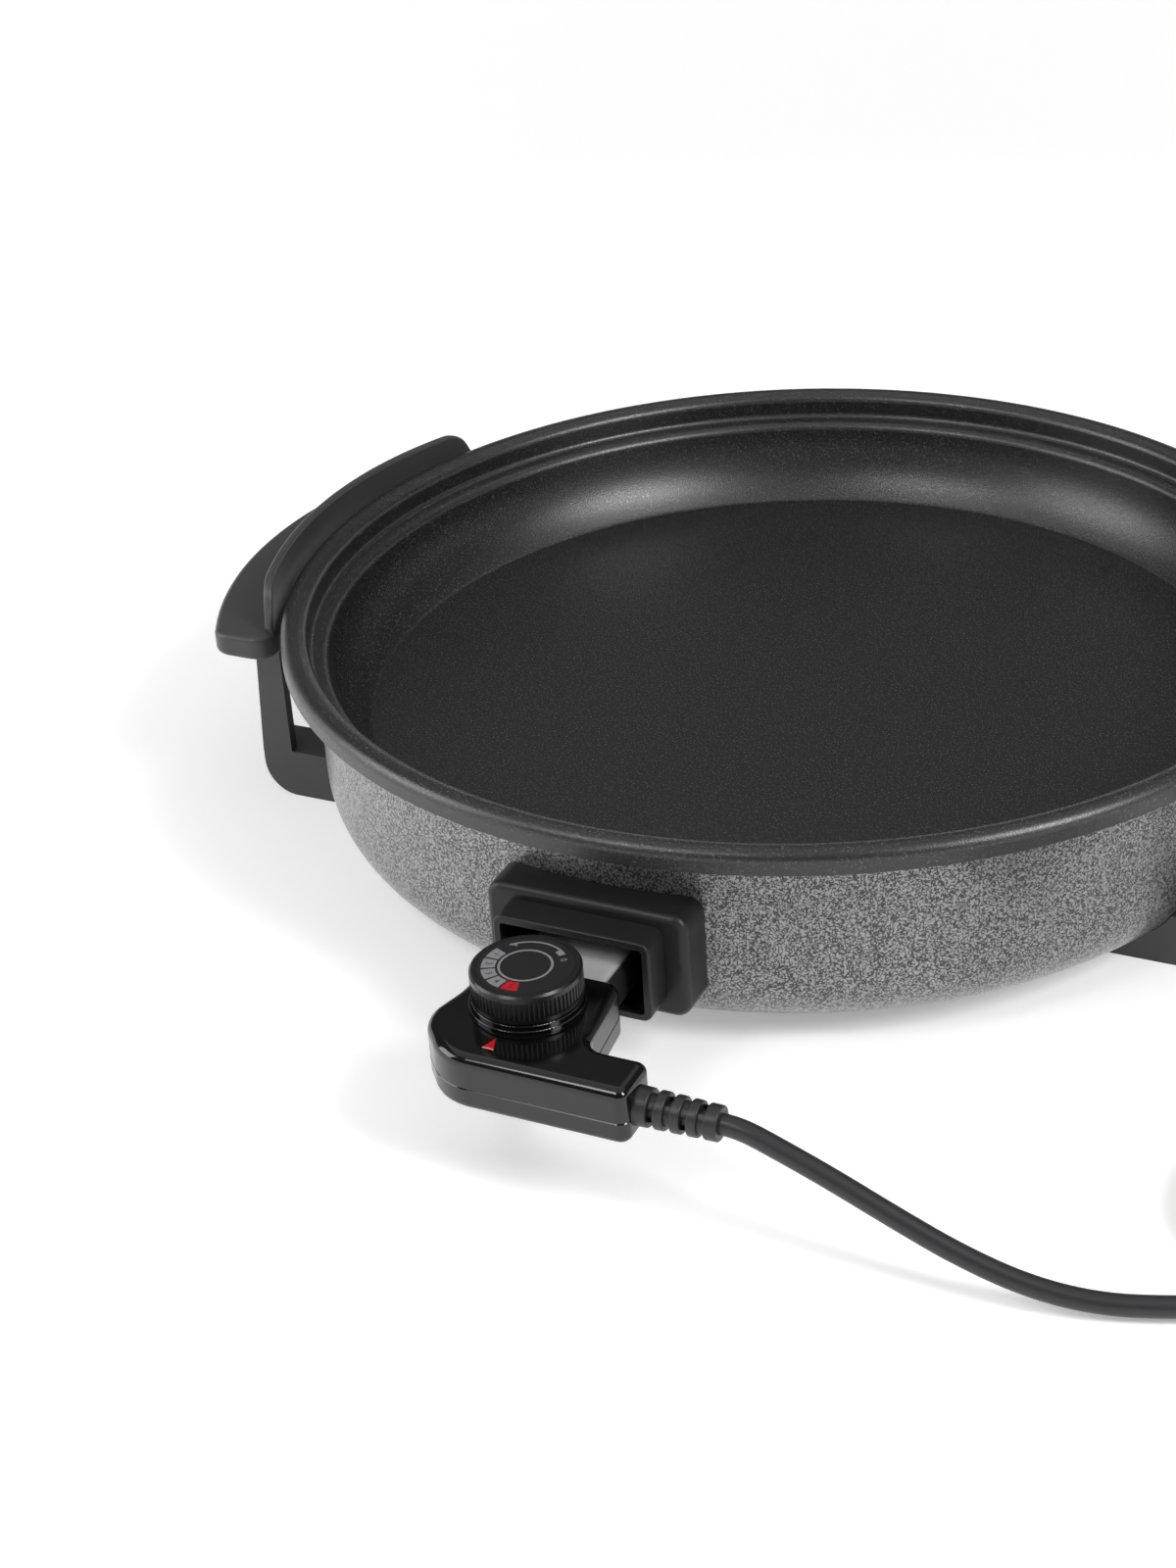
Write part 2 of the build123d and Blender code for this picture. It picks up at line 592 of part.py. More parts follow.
# Handle: crescent grip, raised guard along its inner side and two legs that end in feet
WING_TOP = RIM_Z - WING_DROP
WING_Z = WING_TOP - WING_THICK
ARM_TOP = TABLE_Z + ARM_HEIGHT
LEG_OUTER = LEG_INNER + LEG_DEPTH + LEG_SPREAD
WING_HALF = WING_LENGTH / 2
GUARD_HALF = WING_HALF - GUARD_INSET
SHOULDER = GUARD_HALF - GUARD_SHOULDER
SHOULDER_Z = RIM_Z + GUARD_RISE - GUARD_CROWN
with BuildPart() as handle_wing:
    wing_inside = RIM_RADIUS + WING_GAP
    wing_tip = RIM_RADIUS + WING_REACH
    wing_outer = WING_BOW - wing_tip - sqrt(WING_BOW ** 2 - WING_HALF ** 2)
    wing_inner = -sqrt(wing_inside ** 2 - WING_HALF ** 2)
    with BuildSketch(Plane.XY.offset(WING_Z)):
        with BuildLine():
            ThreePointArc((wing_outer, -WING_HALF), (-wing_tip, 0), (wing_outer, WING_HALF))
            Line((wing_outer, WING_HALF), (wing_inner, WING_HALF))
            ThreePointArc((wing_inner, WING_HALF), (-wing_inside, 0), (wing_inner, -WING_HALF))
            Line((wing_inner, -WING_HALF), (wing_outer, -WING_HALF))
        make_face()
        fillet(vertices(), WING_CORNER)
    extrude(amount=WING_THICK)
    fillet(edges().filter_by(Plane.XY), WING_ROUND)
with BuildPart() as handle_guard:
    guard_inner = RIM_RADIUS + GUARD_GAP
    guard_outer = guard_inner + GUARD_THICK
    guard_end = -sqrt(guard_inner ** 2 - GUARD_HALF ** 2)
    guard_outer_end = -sqrt(guard_outer ** 2 - GUARD_HALF ** 2)
    with BuildSketch(Plane.XY.offset(WING_Z + WING_THICK / 2)):
        with BuildLine():
            ThreePointArc((guard_outer_end, -GUARD_HALF), (-guard_outer, 0), (guard_outer_end, GUARD_HALF))
            Line((guard_outer_end, GUARD_HALF), (guard_end, GUARD_HALF))
            ThreePointArc((guard_end, GUARD_HALF), (-guard_inner, 0), (guard_end, -GUARD_HALF))
            Line((guard_end, -GUARD_HALF), (guard_outer_end, -GUARD_HALF))
        make_face()
    extrude(amount=RIM_Z + GUARD_RISE - WING_Z)
    with BuildSketch(Plane.YZ):
        with BuildLine():
            Polyline(
                (-SHOULDER, SHOULDER_Z), (-GUARD_HALF, WING_TOP + GUARD_END_RISE), (-GUARD_HALF, WING_Z),
                (GUARD_HALF, WING_Z), (GUARD_HALF, WING_TOP + GUARD_END_RISE), (SHOULDER, SHOULDER_Z))
            ThreePointArc((SHOULDER, SHOULDER_Z), (0, RIM_Z + GUARD_RISE), (-SHOULDER, SHOULDER_Z))
        make_face()
        fillet(vertices().group_by(Axis.Y)[-1], GUARD_ROUND)
    extrude(amount=-2 * guard_outer, mode=Mode.INTERSECT)
    fillet(edges().filter_by(lambda e: e.center().Z > WING_TOP + GUARD_END_RISE), GUARD_THICK / 3)
with BuildPart() as handle_leg:
    with BuildSketch(Plane.XZ.offset(LEG_NEAR)):
        with BuildLine():
            Polyline(
                (-LEG_INNER - LEG_DEPTH, WING_Z + WING_THICK / 2), (-LEG_OUTER, ARM_TOP),
                (-LEG_OUTER, TABLE_Z),
                (-LEG_INNER, TABLE_Z), (-LEG_INNER, WING_Z + WING_THICK / 2), close=True)
        make_face()
    extrude(amount=-LEG_THICK)
    with BuildSketch(Plane.XZ.offset(LEG_NEAR)):
        with BuildLine():
            Polyline(
                (-LEG_OUTER, TABLE_Z), (-ARM_TIP, TABLE_Z), (-ARM_TIP, ARM_TOP), (-LEG_OUTER, ARM_TOP),
                close=True)
        make_face()
    extrude(amount=-ARM_WIDTH)
    fillet(edges().filter_by(Axis.Y).group_by(Axis.X)[0].sort_by(Axis.Z)[0], LEG_ROUND)
    add(shell_space.part, mode=Mode.SUBTRACT)
    with Locations((-FOOT_SCREW_X, -LEG_NEAR + ARM_WIDTH / 2, TABLE_Z)):
        Cylinder(FOOT_SCREW / 2 + FIT_GAP, 2 * FOOT_LIFT, mode=Mode.SUBTRACT)
        Cylinder(FOOT_HEAD / 2 + SEAT_GAP, 2 * (FOOT_HEAD_HEIGHT + SEAT_GAP), mode=Mode.SUBTRACT)
with BuildPart() as handle_left:
    add(handle_wing.part)
    add(handle_guard.part)
    add(handle_leg.part)
    mirror(handle_leg.part, about=Plane.XZ)
with BuildPart() as handle_right:
    mirror(handle_left.part, about=Plane.YZ)

# Screws up through the feet and their nuts inside the shell
FOOT_HEAD_TOP = TABLE_Z + FOOT_HEAD_HEIGHT + SEAT_GAP
with BuildPart() as foot_screws:
    with BuildSketch(Plane.XY.offset(FOOT_HEAD_TOP)):
        with GridLocations(FOOT_PITCH_X, FOOT_PITCH_Y, 2, 2):
            Circle(FOOT_SCREW / 2)
    extrude(amount=SHELL_INSIDE + FOOT_NUT_HEIGHT - FOOT_HEAD_TOP)
    with BuildSketch(Plane.XY.offset(FOOT_HEAD_TOP)):
        with GridLocations(FOOT_PITCH_X, FOOT_PITCH_Y, 2, 2):
            Circle(FOOT_HEAD / 2)
    extrude(amount=-FOOT_HEAD_HEIGHT)
with BuildPart() as foot_nuts:
    with BuildSketch(Plane.XY.offset(SHELL_INSIDE)):
        with GridLocations(FOOT_PITCH_X, FOOT_PITCH_Y, 2, 2):
            RegularPolygon(FOOT_NUT_FLATS / 2, 6, major_radius=False)
            Circle(FOOT_SCREW / 2 + FIT_GAP, mode=Mode.SUBTRACT)
    extrude(amount=FOOT_NUT_HEIGHT)


# Outline of the control's case, seen from above
def case_plan(level, inset):
    """The case's outline at a level, drawn in by inset."""
    with BuildSketch(Plane.XY.offset(level)) as plan:
        with BuildLine():
            FilletPolyline(
                (-STEM_HALF, -CASE_REAR), (STEM_HALF, -CASE_REAR), (STEM_HALF + STEM_FLARE, -ARM_REAR),
                (ARM_END, -ARM_REAR), (ARM_END, -ARM_FRONT), (BULGE_FRONT - STEM_HALF, -ARM_FRONT),
                (-STEM_HALF - BULGE_SIDE, -CASE_REAR - BULGE_PLACE), (-STEM_HALF, -CASE_REAR - BULGE_WAIST),
                radius=CASE_CORNERS, close=True)
        make_face()
        if inset:
            offset(amount=-inset)
    return plan.sketch


# Space that the plug sleeve and the lead take up in the case's walls
with BuildPart() as case_passages:
    with BuildSketch(facing_front(CASE_REAR - CASE_WALL, SLEEVE_Z)):
        RectangleRounded(
            2 * (SLEEVE_HALF + FIT_GAP), SLEEVE_HEIGHT + 2 * FIT_GAP, SLEEVE_CORNER + FIT_GAP)
    extrude(amount=SLEEVE_BACK + FIT_GAP - CASE_REAR + CASE_WALL)
    with BuildSketch(Plane(origin=(ARM_END + CASE_WALL, CORD_Y, CORD_Z), z_dir=(-1, 0, 0))):
        Circle(RELIEF_NECK / 2 + FIT_GAP)
    extrude(amount=3 * CASE_WALL)

# Lower half of the case, with posts for its screws and for the lead's clamp
BAR_Z = CORD_Z + CORD_DIAMETER / 2 + FIT_GAP
BAR_PLACE = ARM_END - BAR_INSET
BAR_PLACES = [(BAR_PLACE, CORD_Y - BAR_SPREAD / 2), (BAR_PLACE, CORD_Y + BAR_SPREAD / 2)]
with BuildPart() as case_bottom:
    add(case_plan(CASE_BOTTOM, 0))
    extrude(amount=CASE_SPLIT)
    fillet(faces().sort_by(Axis.Z)[0].edges(), CASE_BOTTOM_ROUND)
    chamfer(faces().sort_by(Axis.Z)[-1].edges(), CASE_SEAM)
    add(case_plan(SPLIT_Z, CASE_WALL))
    extrude(amount=-(CASE_SPLIT - CASE_WALL), mode=Mode.SUBTRACT)
    add(case_passages.part, mode=Mode.SUBTRACT)
    with BuildSketch(Plane.XY.offset(CASE_FLOOR - CASE_WALL / 2)):
        with Locations(CASE_POSTS):
            Circle(CASE_POST / 2)
    extrude(amount=SPLIT_Z - CASE_FLOOR + CASE_WALL / 2)
    with BuildSketch(Plane.XY.offset(CASE_FLOOR - CASE_WALL / 2)):
        with Locations(BAR_PLACES):
            Circle(BAR_POST / 2)
    extrude(amount=BAR_Z - CASE_FLOOR + CASE_WALL / 2)
    with BuildSketch(Plane.XY.offset(BAR_Z)):
        with Locations(BAR_PLACES):
            Circle(BAR_SCREW / 2)
    extrude(amount=-BAR_SCREW_LENGTH, mode=Mode.SUBTRACT)
    with BuildSketch(Plane.XY.offset(CASE_BOTTOM)):
        with Locations(CASE_POSTS):
            Circle(CASE_SCREW / 2 + FIT_GAP)
    extrude(amount=CASE_SPLIT, mode=Mode.SUBTRACT)
    with BuildSketch(Plane.XY.offset(CASE_BOTTOM)):
        with Locations(CASE_POSTS):
            Circle(CASE_SCREW_HEAD / 2 + SEAT_GAP)
    extrude(amount=CASE_HEAD_DEPTH, mode=Mode.SUBTRACT)

# Upper half of the case: knob collar, spindle bush, lens opening and the lamp's two holders
LAMP_Z = CASE_ROOF - LENS_FLANGE - LAMP_DIAMETER / 2 - 2 * SEAT_GAP
LENS_SHAPE = [(-LENS_WIDTH / 2, -LENS_LENGTH / 2), (LENS_WIDTH / 2, -LENS_LENGTH / 2), (0, LENS_LENGTH / 2)]
with BuildPart() as case_top:
    add(case_plan(SPLIT_Z, 0))
    extrude(amount=CASE_HEIGHT - CASE_SPLIT)
    fillet(faces().sort_by(Axis.Z)[-1].edges(), CASE_TOP_ROUND)
    chamfer(faces().sort_by(Axis.Z)[0].edges(), CASE_SEAM)
    for ring_radius, ring_top in ((KNOB_RADIUS + RING_WIDE, RING_STEP), (KNOB_RADIUS, RING_HEIGHT)):
        with BuildSketch(Plane.XY.offset(CASE_ROOF)):
            with Locations((0, -KNOB_PLACE)):
                Circle(ring_radius)
        extrude(amount=CASE_WALL + ring_top)
        fillet(faces().sort_by(Axis.Z)[-1].edges(), RING_STEP / 3)
    add(case_plan(SPLIT_Z, CASE_WALL))
    extrude(amount=CASE_HEIGHT - CASE_SPLIT - CASE_WALL, mode=Mode.SUBTRACT)
    add(case_passages.part, mode=Mode.SUBTRACT)
    with BuildSketch(Plane.XY.offset(CASE_ROOF)):
        with Locations((0, -KNOB_PLACE)):
            Circle(SPINDLE_DIAMETER / 2 + BUSH_WALL)
    extrude(amount=-BUSH_DROP)
    with BuildSketch(Plane.XY.offset(CASE_ROOF)):
        with Locations(CASE_POSTS):
            Circle(CASE_POST / 2)
    extrude(amount=SPLIT_Z - CASE_ROOF)
    with BuildSketch(Plane.XY.offset(CASE_ROOF)):
        with Locations((-LAMP_LENGTH / 3, -LENS_PLACE), (LAMP_LENGTH / 3, -LENS_PLACE)):
            Rectangle(LAMP_HOLDER, LAMP_DIAMETER + 2 * LAMP_HOLDER)
    extrude(amount=LAMP_Z - LAMP_DIAMETER / 2 - LAMP_HOLDER - CASE_ROOF)
    with Locations(Location((0, -LENS_PLACE, LAMP_Z), (0, 90, 0))):
        Cylinder(LAMP_DIAMETER / 2 + RUNNING_GAP, LAMP_LENGTH, mode=Mode.SUBTRACT)
    with Locations((0, -KNOB_PLACE, CASE_TOP)):
        Cylinder(SPINDLE_DIAMETER / 2 + RUNNING_GAP, 2 * CASE_HEIGHT, mode=Mode.SUBTRACT)
    with BuildSketch(Plane.XY.offset(SPLIT_Z)):
        with Locations(CASE_POSTS):
            Circle(CASE_SCREW / 2)
    extrude(amount=CASE_ROOF - SPLIT_Z - CASE_WALL / 2, mode=Mode.SUBTRACT)
    with BuildSketch(Plane.XY.offset(CASE_ROOF)):
        with Locations((0, -LENS_PLACE)):
            Polygon(*LENS_SHAPE, align=None)
        offset(amount=FIT_GAP, kind=Kind.INTERSECTION)
    extrude(amount=CASE_WALL + RING_HEIGHT, mode=Mode.SUBTRACT)

# Screws that close the case from below
with BuildPart() as case_screws:
    with BuildSketch(Plane.XY.offset(CASE_BOTTOM + CASE_HEAD_DEPTH)):
        with Locations(CASE_POSTS):
            Circle(CASE_SCREW / 2)
    extrude(amount=CASE_ROOF - CASE_WALL - CASE_BOTTOM - CASE_HEAD_DEPTH)
    with BuildSketch(Plane.XY.offset(CASE_BOTTOM + CASE_HEAD_DEPTH)):
        with Locations(CASE_POSTS):
            Circle(CASE_SCREW_HEAD / 2)
    extrude(amount=-(CASE_HEAD_DEPTH - 2 * SEAT_GAP))

# Plug sleeve, the ceramic carrier inside it and the two contact tubes
with BuildPart() as plug_sleeve:
    with BuildSketch(facing_front(SLEEVE_FRONT, SLEEVE_Z)):
        RectangleRounded(2 * SLEEVE_HALF, SLEEVE_HEIGHT, SLEEVE_CORNER)
        RectangleRounded(
            2 * (SLEEVE_HALF - SLEEVE_SHEET), SLEEVE_HEIGHT - 2 * SLEEVE_SHEET,
            SLEEVE_CORNER - SLEEVE_SHEET, mode=Mode.SUBTRACT)
    extrude(amount=SLEEVE_BACK - SLEEVE_FRONT)
CONTACT_BORE = PIN_DIAMETER / 2 + PLUG_GAP
CARRIER_FRONT = SLEEVE_FRONT + CARRIER_SET_BACK
CARRIER_BACK = SLEEVE_BACK - CARRIER_TAIL
CONTACT_FRONT = SLEEVE_FRONT + CONTACT_SET_BACK
CONTACT_BACK = SLEEVE_BACK + CONTACT_TAIL
CONTACT_RADIUS = CONTACT_BORE + CONTACT_WALL
with BuildPart() as contact_carrier:
    carrier_inset = SLEEVE_SHEET + FIT_GAP
    with BuildSketch(facing_front(CARRIER_FRONT, SLEEVE_Z)):
        RectangleRounded(
            2 * (SLEEVE_HALF - carrier_inset), SLEEVE_HEIGHT - 2 * carrier_inset,
            SLEEVE_CORNER - carrier_inset)
    extrude(amount=CARRIER_BACK - CARRIER_FRONT)
    with BuildSketch(facing_front(CARRIER_FRONT, TERMINAL_Z)):
        with Locations(PIN_PLACES):
            Circle(CONTACT_RADIUS + RUNNING_GAP)
        Circle(PROBE_DIAMETER / 2 + RUNNING_GAP)
    extrude(amount=CARRIER_BACK - CARRIER_FRONT, mode=Mode.SUBTRACT)
with BuildPart() as contact_tubes:
    with BuildSketch(facing_front(CONTACT_FRONT, TERMINAL_Z)):
        with Locations(PIN_PLACES):
            Circle(CONTACT_RADIUS)
            Circle(CONTACT_BORE, mode=Mode.SUBTRACT)
    extrude(amount=CONTACT_BACK - CONTACT_FRONT)
with BuildPart() as sensor_probe:
    with BuildSketch(facing_front(PROBE_TIP, TERMINAL_Z)):
        Circle(PROBE_DIAMETER / 2)
    extrude(amount=PROBE_END - PROBE_TIP)
    fillet(edges().sort_by(Axis.Y)[-1], PROBE_DIAMETER / 3)

# Thermostat frame: a folded strip between the probe and the spindle
FRAME_TOP = CASE_ROOF - BUSH_DROP - FIT_GAP
with BuildPart() as thermostat_frame:
    frame_height = FRAME_TOP - CASE_FLOOR
    with BuildSketch(Plane.YZ):
        with Locations((-FRAME_FRONT - FRAME_LENGTH / 2, CASE_FLOOR + frame_height / 2)):
            RectangleRounded(FRAME_LENGTH, frame_height, 2 * FRAME_SHEET)
            RectangleRounded(
                FRAME_LENGTH - 2 * FRAME_SHEET, frame_height - 2 * FRAME_SHEET, FRAME_SHEET,
                mode=Mode.SUBTRACT)
    extrude(amount=FRAME_WIDTH / 2, both=True)
    with BuildSketch(facing_front(FRAME_FRONT, TERMINAL_Z)):
        Circle(PROBE_DIAMETER / 2 + RUNNING_GAP)
    extrude(amount=FRAME_SHEET, mode=Mode.SUBTRACT)
    with BuildSketch(Plane.XY.offset(FRAME_TOP)):
        with Locations((0, -KNOB_PLACE)):
            Circle(SPINDLE_DIAMETER / 2 + RUNNING_GAP)
    extrude(amount=-FRAME_SHEET, mode=Mode.SUBTRACT)

# Contact stack: two blades between three ceramic slices, standing on the frame
STACK_Z = CASE_FLOOR + FRAME_SHEET
STACK_PITCH = STACK_SLICE + BLADE_SHEET
STACK_PLACE = FRAME_BACK - 2 * FRAME_SHEET - SEAT_GAP - STACK_LENGTH / 2
with BuildPart() as stack_insulators:
    for level in range(3):
        with Locations((0, -STACK_PLACE, STACK_Z + level * STACK_PITCH + STACK_SLICE / 2)):
            Box(BLADE_WIDTH, STACK_LENGTH, STACK_SLICE)


def stack_blade(level):
    """A blade lying on the given slice of the stack and reaching under the spindle."""
    with BuildPart() as blade:
        middle = BLADE_LENGTH / 2 - STACK_PLACE - STACK_LENGTH / 2
        with Locations((0, middle, STACK_Z + level * STACK_PITCH + STACK_SLICE + BLADE_SHEET / 2)):
            Box(BLADE_WIDTH, BLADE_LENGTH, BLADE_SHEET)
    return blade


bimetal_blade = stack_blade(0)
contact_blade = stack_blade(1)

# Terminal block, the end of the lead and the bar that clamps it
with BuildPart() as terminal_block:
    with Locations((ARM_END - BLOCK_INSET, CORD_Y, CASE_FLOOR + BLOCK_HEIGHT / 2)):
        Box(BLOCK_LENGTH, BLOCK_WIDTH, BLOCK_HEIGHT)
        with Locations((0, -BLOCK_WIDTH / 4, 0), (0, BLOCK_WIDTH / 4, 0)):
            Cylinder(BLOCK_BORE / 2, BLOCK_LENGTH, rotation=(0, 90, 0), mode=Mode.SUBTRACT)
with BuildPart() as lead_end:
    with BuildSketch(Plane(origin=(ARM_END + RELIEF_LENGTH, CORD_Y, CORD_Z), z_dir=(-1, 0, 0))):
        Circle(CORD_DIAMETER / 2)
    extrude(amount=RELIEF_LENGTH + CASE_WALL + STUB_LENGTH)
with BuildPart() as clamp_bar:
    with BuildSketch(Plane.XY.offset(BAR_Z)):
        with Locations((BAR_PLACE, CORD_Y)):
            RectangleRounded(CLAMP_BAR, BAR_SPREAD + BAR_POST, CLAMP_BAR / 4)
        with Locations(BAR_PLACES):
            Circle(BAR_SCREW / 2 + FIT_GAP, mode=Mode.SUBTRACT)
    extrude(amount=BAR_SHEET)
with BuildPart() as clamp_screws:
    with BuildSketch(Plane.XY.offset(BAR_Z + BAR_SHEET)):
        with Locations(BAR_PLACES):
            Circle(BAR_SCREW_HEAD / 2)
    extrude(amount=BAR_HEAD_HEIGHT)
    with BuildSketch(Plane.XY.offset(BAR_Z + BAR_SHEET)):
        with Locations(BAR_PLACES):
            Circle(BAR_SCREW / 2)
    extrude(amount=-BAR_SCREW_LENGTH)

# Pilot lamp and its lens
with BuildPart() as pilot_lamp:
    with Locations(Location((0, -LENS_PLACE, LAMP_Z), (0, 90, 0))):
        Cylinder(LAMP_DIAMETER / 2, LAMP_LENGTH)
    fillet(edges().filter_by(GeomType.CIRCLE), LAMP_DIAMETER / 4)
with BuildPart() as pilot_lens:
    with BuildSketch(Plane.XY.offset(CASE_ROOF)):
        with Locations((0, -LENS_PLACE)):
            Polygon(*LENS_SHAPE, align=None)
    extrude(amount=CASE_WALL + LENS_PROUD)
    chamfer(faces().sort_by(Axis.Z)[-1].edges(), LENS_PROUD / 2)
    with BuildSketch(Plane.XY.offset(CASE_ROOF)):
        with Locations((0, -LENS_PLACE)):
            Polygon(*LENS_SHAPE, align=None)
        offset(amount=LENS_FLANGE, kind=Kind.ARC)
    extrude(amount=-LENS_FLANGE)

# Strain relief: ribbed sleeve with crossed slots, a neck through the wall and a head inside
RELIEF_BORE = CORD_DIAMETER / 2 + FIT_GAP
RIB_LENGTH = pi * (RELIEF_WAIST + RELIEF_END) / 2
with BuildPart() as strain_relief:
    with BuildSketch(Plane.XZ.offset(-CORD_Y)):
        with BuildLine():
            Polyline(
                (ARM_END - CASE_WALL - RELIEF_HEAD, CORD_Z + RELIEF_BORE),
                (ARM_END + RELIEF_LENGTH, CORD_Z + RELIEF_BORE),
                (ARM_END + RELIEF_LENGTH, CORD_Z + RELIEF_END / 2),
                (ARM_END, CORD_Z + RELIEF_DIAMETER / 2), (ARM_END, CORD_Z + RELIEF_NECK / 2),
                (ARM_END - CASE_WALL, CORD_Z + RELIEF_NECK / 2),
                (ARM_END - CASE_WALL, CORD_Z + RELIEF_HEAD_DIAMETER / 2),
                (ARM_END - CASE_WALL - RELIEF_HEAD, CORD_Z + RELIEF_HEAD_DIAMETER / 2), close=True)
        make_face()
    revolve(axis=Axis((0, CORD_Y, CORD_Z), (1, 0, 0)))
    for row in range(SLOT_COUNT):
        turned = 90 * (row % 2)
        with Locations(Location((ARM_END + SLOT_FIRST + row * SLOT_PITCH, CORD_Y, CORD_Z), (turned, 0, 0))):
            Box(SLOT_WIDTH, 2 * RELIEF_DIAMETER, SLOT_SPAN, mode=Mode.SUBTRACT)
        waist_start = ARM_END + SLOT_FIRST + row * SLOT_PITCH - SLOT_WIDTH / 2
        with BuildSketch(Plane(origin=(waist_start, CORD_Y, CORD_Z), z_dir=(1, 0, 0))):
            Circle(RELIEF_DIAMETER)
            Circle(RELIEF_WAIST / 2, mode=Mode.SUBTRACT)
        extrude(amount=SLOT_WIDTH, mode=Mode.SUBTRACT)
    fillet(edges().filter_by(lambda e: e.center().X > ARM_END and e.length > RIB_LENGTH), RIB_EDGE)

# Knob with ribbed side, its dial and the spindle it turns
SPINDLE_TIP = STACK_Z + 2 * STACK_PITCH + SPINDLE_TIP_GAP
with BuildPart() as knob:
    with BuildSketch(Plane.XY.offset(KNOB_Z)):
        with Locations((0, -KNOB_PLACE)):
            Circle(KNOB_RADIUS)
    extrude(amount=KNOB_TOP - KNOB_Z)
    chamfer(faces().sort_by(Axis.Z)[-1].edges(), KNOB_CHAMFER)
    with BuildSketch(Plane.XY.offset(KNOB_TOP)):
        with Locations((0, -KNOB_PLACE)):
            Circle(DIAL_RADIUS)
    extrude(amount=-DIAL_SHEET, mode=Mode.SUBTRACT)
    with BuildSketch(Plane.XY.offset(KNOB_Z)):
        with Locations((0, -KNOB_PLACE)):
            Circle(DIAL_RADIUS)
            Circle(SPINDLE_DIAMETER, mode=Mode.SUBTRACT)
    extrude(amount=SPINDLE_GRIP - BUSH_WALL, mode=Mode.SUBTRACT)
    with BuildSketch(Plane.XY.offset(KNOB_Z + KNOB_FOOT)):
        with Locations((0, -KNOB_PLACE)):
            with PolarLocations(KNOB_RADIUS + RIB_GROOVE - RIB_DEPTH, RIB_COUNT):
                Circle(RIB_GROOVE)
    extrude(amount=KNOB_TOP - KNOB_BAND - KNOB_Z - KNOB_FOOT, mode=Mode.SUBTRACT)
    with BuildSketch(Plane.XY.offset(KNOB_Z)):
        with Locations((0, -KNOB_PLACE)):
            Circle(SPINDLE_DIAMETER / 2 + RUNNING_GAP)
    extrude(amount=SPINDLE_GRIP, mode=Mode.SUBTRACT)
with BuildPart() as knob_dial:
    with BuildSketch(Plane.XY.offset(KNOB_TOP - DIAL_SHEET)):
        with Locations((0, -KNOB_PLACE)):
            Circle(DIAL_RADIUS - FIT_GAP)
    extrude(amount=DIAL_SHEET)
with BuildPart() as knob_spindle:
    with BuildSketch(Plane.XY.offset(SPINDLE_TIP)):
        with Locations((0, -KNOB_PLACE)):
            Circle(SPINDLE_DIAMETER / 2)
    extrude(amount=KNOB_Z + SPINDLE_GRIP - SPINDLE_TIP)


# Lead from the strain relief to the coil: straight runs joined by wide bends
CORD_DROP = CORD_Z - TABLE_Z - TIE_SHEET - TIE_GAP - CORD_DIAMETER / 2
CORD_ROUTE = [
    (ARM_END + RELIEF_LENGTH + out, CORD_Y + side, CORD_Z - CORD_DROP * drop)
    for out, side, drop in CORD_STEPS]


def bend_radii(points):
    """For each inner point, the bend that uses up to 0.45 of the shorter run beside it."""
    radii = []
    for before, here, after in zip(points, points[1:], points[2:]):
        first = Vector(*here) - Vector(*before)
        second = Vector(*after) - Vector(*here)
        half_turn = radians(first.get_angle(second)) / 2
        radii.append(0.45 * min(first.length, second.length) / tan(half_turn))
    return radii


with BuildPart() as supply_cord:
    with BuildLine() as cord_path:
        FilletPolyline(*CORD_ROUTE, radius=bend_radii(CORD_ROUTE))
    with BuildSketch(Plane(origin=cord_path.line @ 0, z_dir=cord_path.line % 0)):
        Circle(CORD_DIAMETER / 2)
    sweep(path=cord_path.line)

# Coiled remainder of the lead: a spiral inward, half a turn up, and a spiral outward on top
COIL_START = Vector(*CORD_ROUTE[-1])
COIL_HEADING = (Vector(*CORD_ROUTE[-1]) - Vector(*CORD_ROUTE[-2])).normalized()
COIL_RATE = COIL_STEP / (2 * pi)
COIL_SPAN = pi * (COIL_TURNS - 0.5)
COIL_PHASE = atan2(COIL_HEADING.Y, COIL_HEADING.X) - pi / 2 - atan2(COIL_RATE, COIL_RADIUS)
COIL_ENTRY = COIL_START + COIL_HEADING * CORD_DIAMETER
COIL_CENTRE = COIL_ENTRY - Vector(cos(COIL_PHASE), sin(COIL_PHASE)) * COIL_RADIUS


def coil_state(angle):
    """Point on the coil's centre line and its direction after the given turning angle."""
    turned = angle - COIL_SPAN
    if turned < 0:
        radius, grow = COIL_RADIUS - COIL_RATE * angle, -COIL_RATE
        height, climb = 0, 0
    elif turned < pi:
        share = turned / pi
        radius = COIL_RADIUS - COIL_RATE * (COIL_SPAN + turned - turned * share)
        grow = COIL_RATE * (2 * share - 1)
        height, climb = COIL_STEP * share ** 2 * (3 - 2 * share), COIL_STEP * 6 * share * (1 - share) / pi
    else:
        radius, grow = COIL_RADIUS - COIL_RATE * (2 * COIL_SPAN + pi - angle), COIL_RATE
        height, climb = COIL_STEP, 0
    bearing = COIL_PHASE + angle
    outward = Vector(cos(bearing), sin(bearing))
    along = Vector(-sin(bearing), cos(bearing))
    point = COIL_CENTRE + outward * radius + Vector(0, 0, height)
    return point, (outward * grow + along * radius + Vector(0, 0, climb)).normalized()


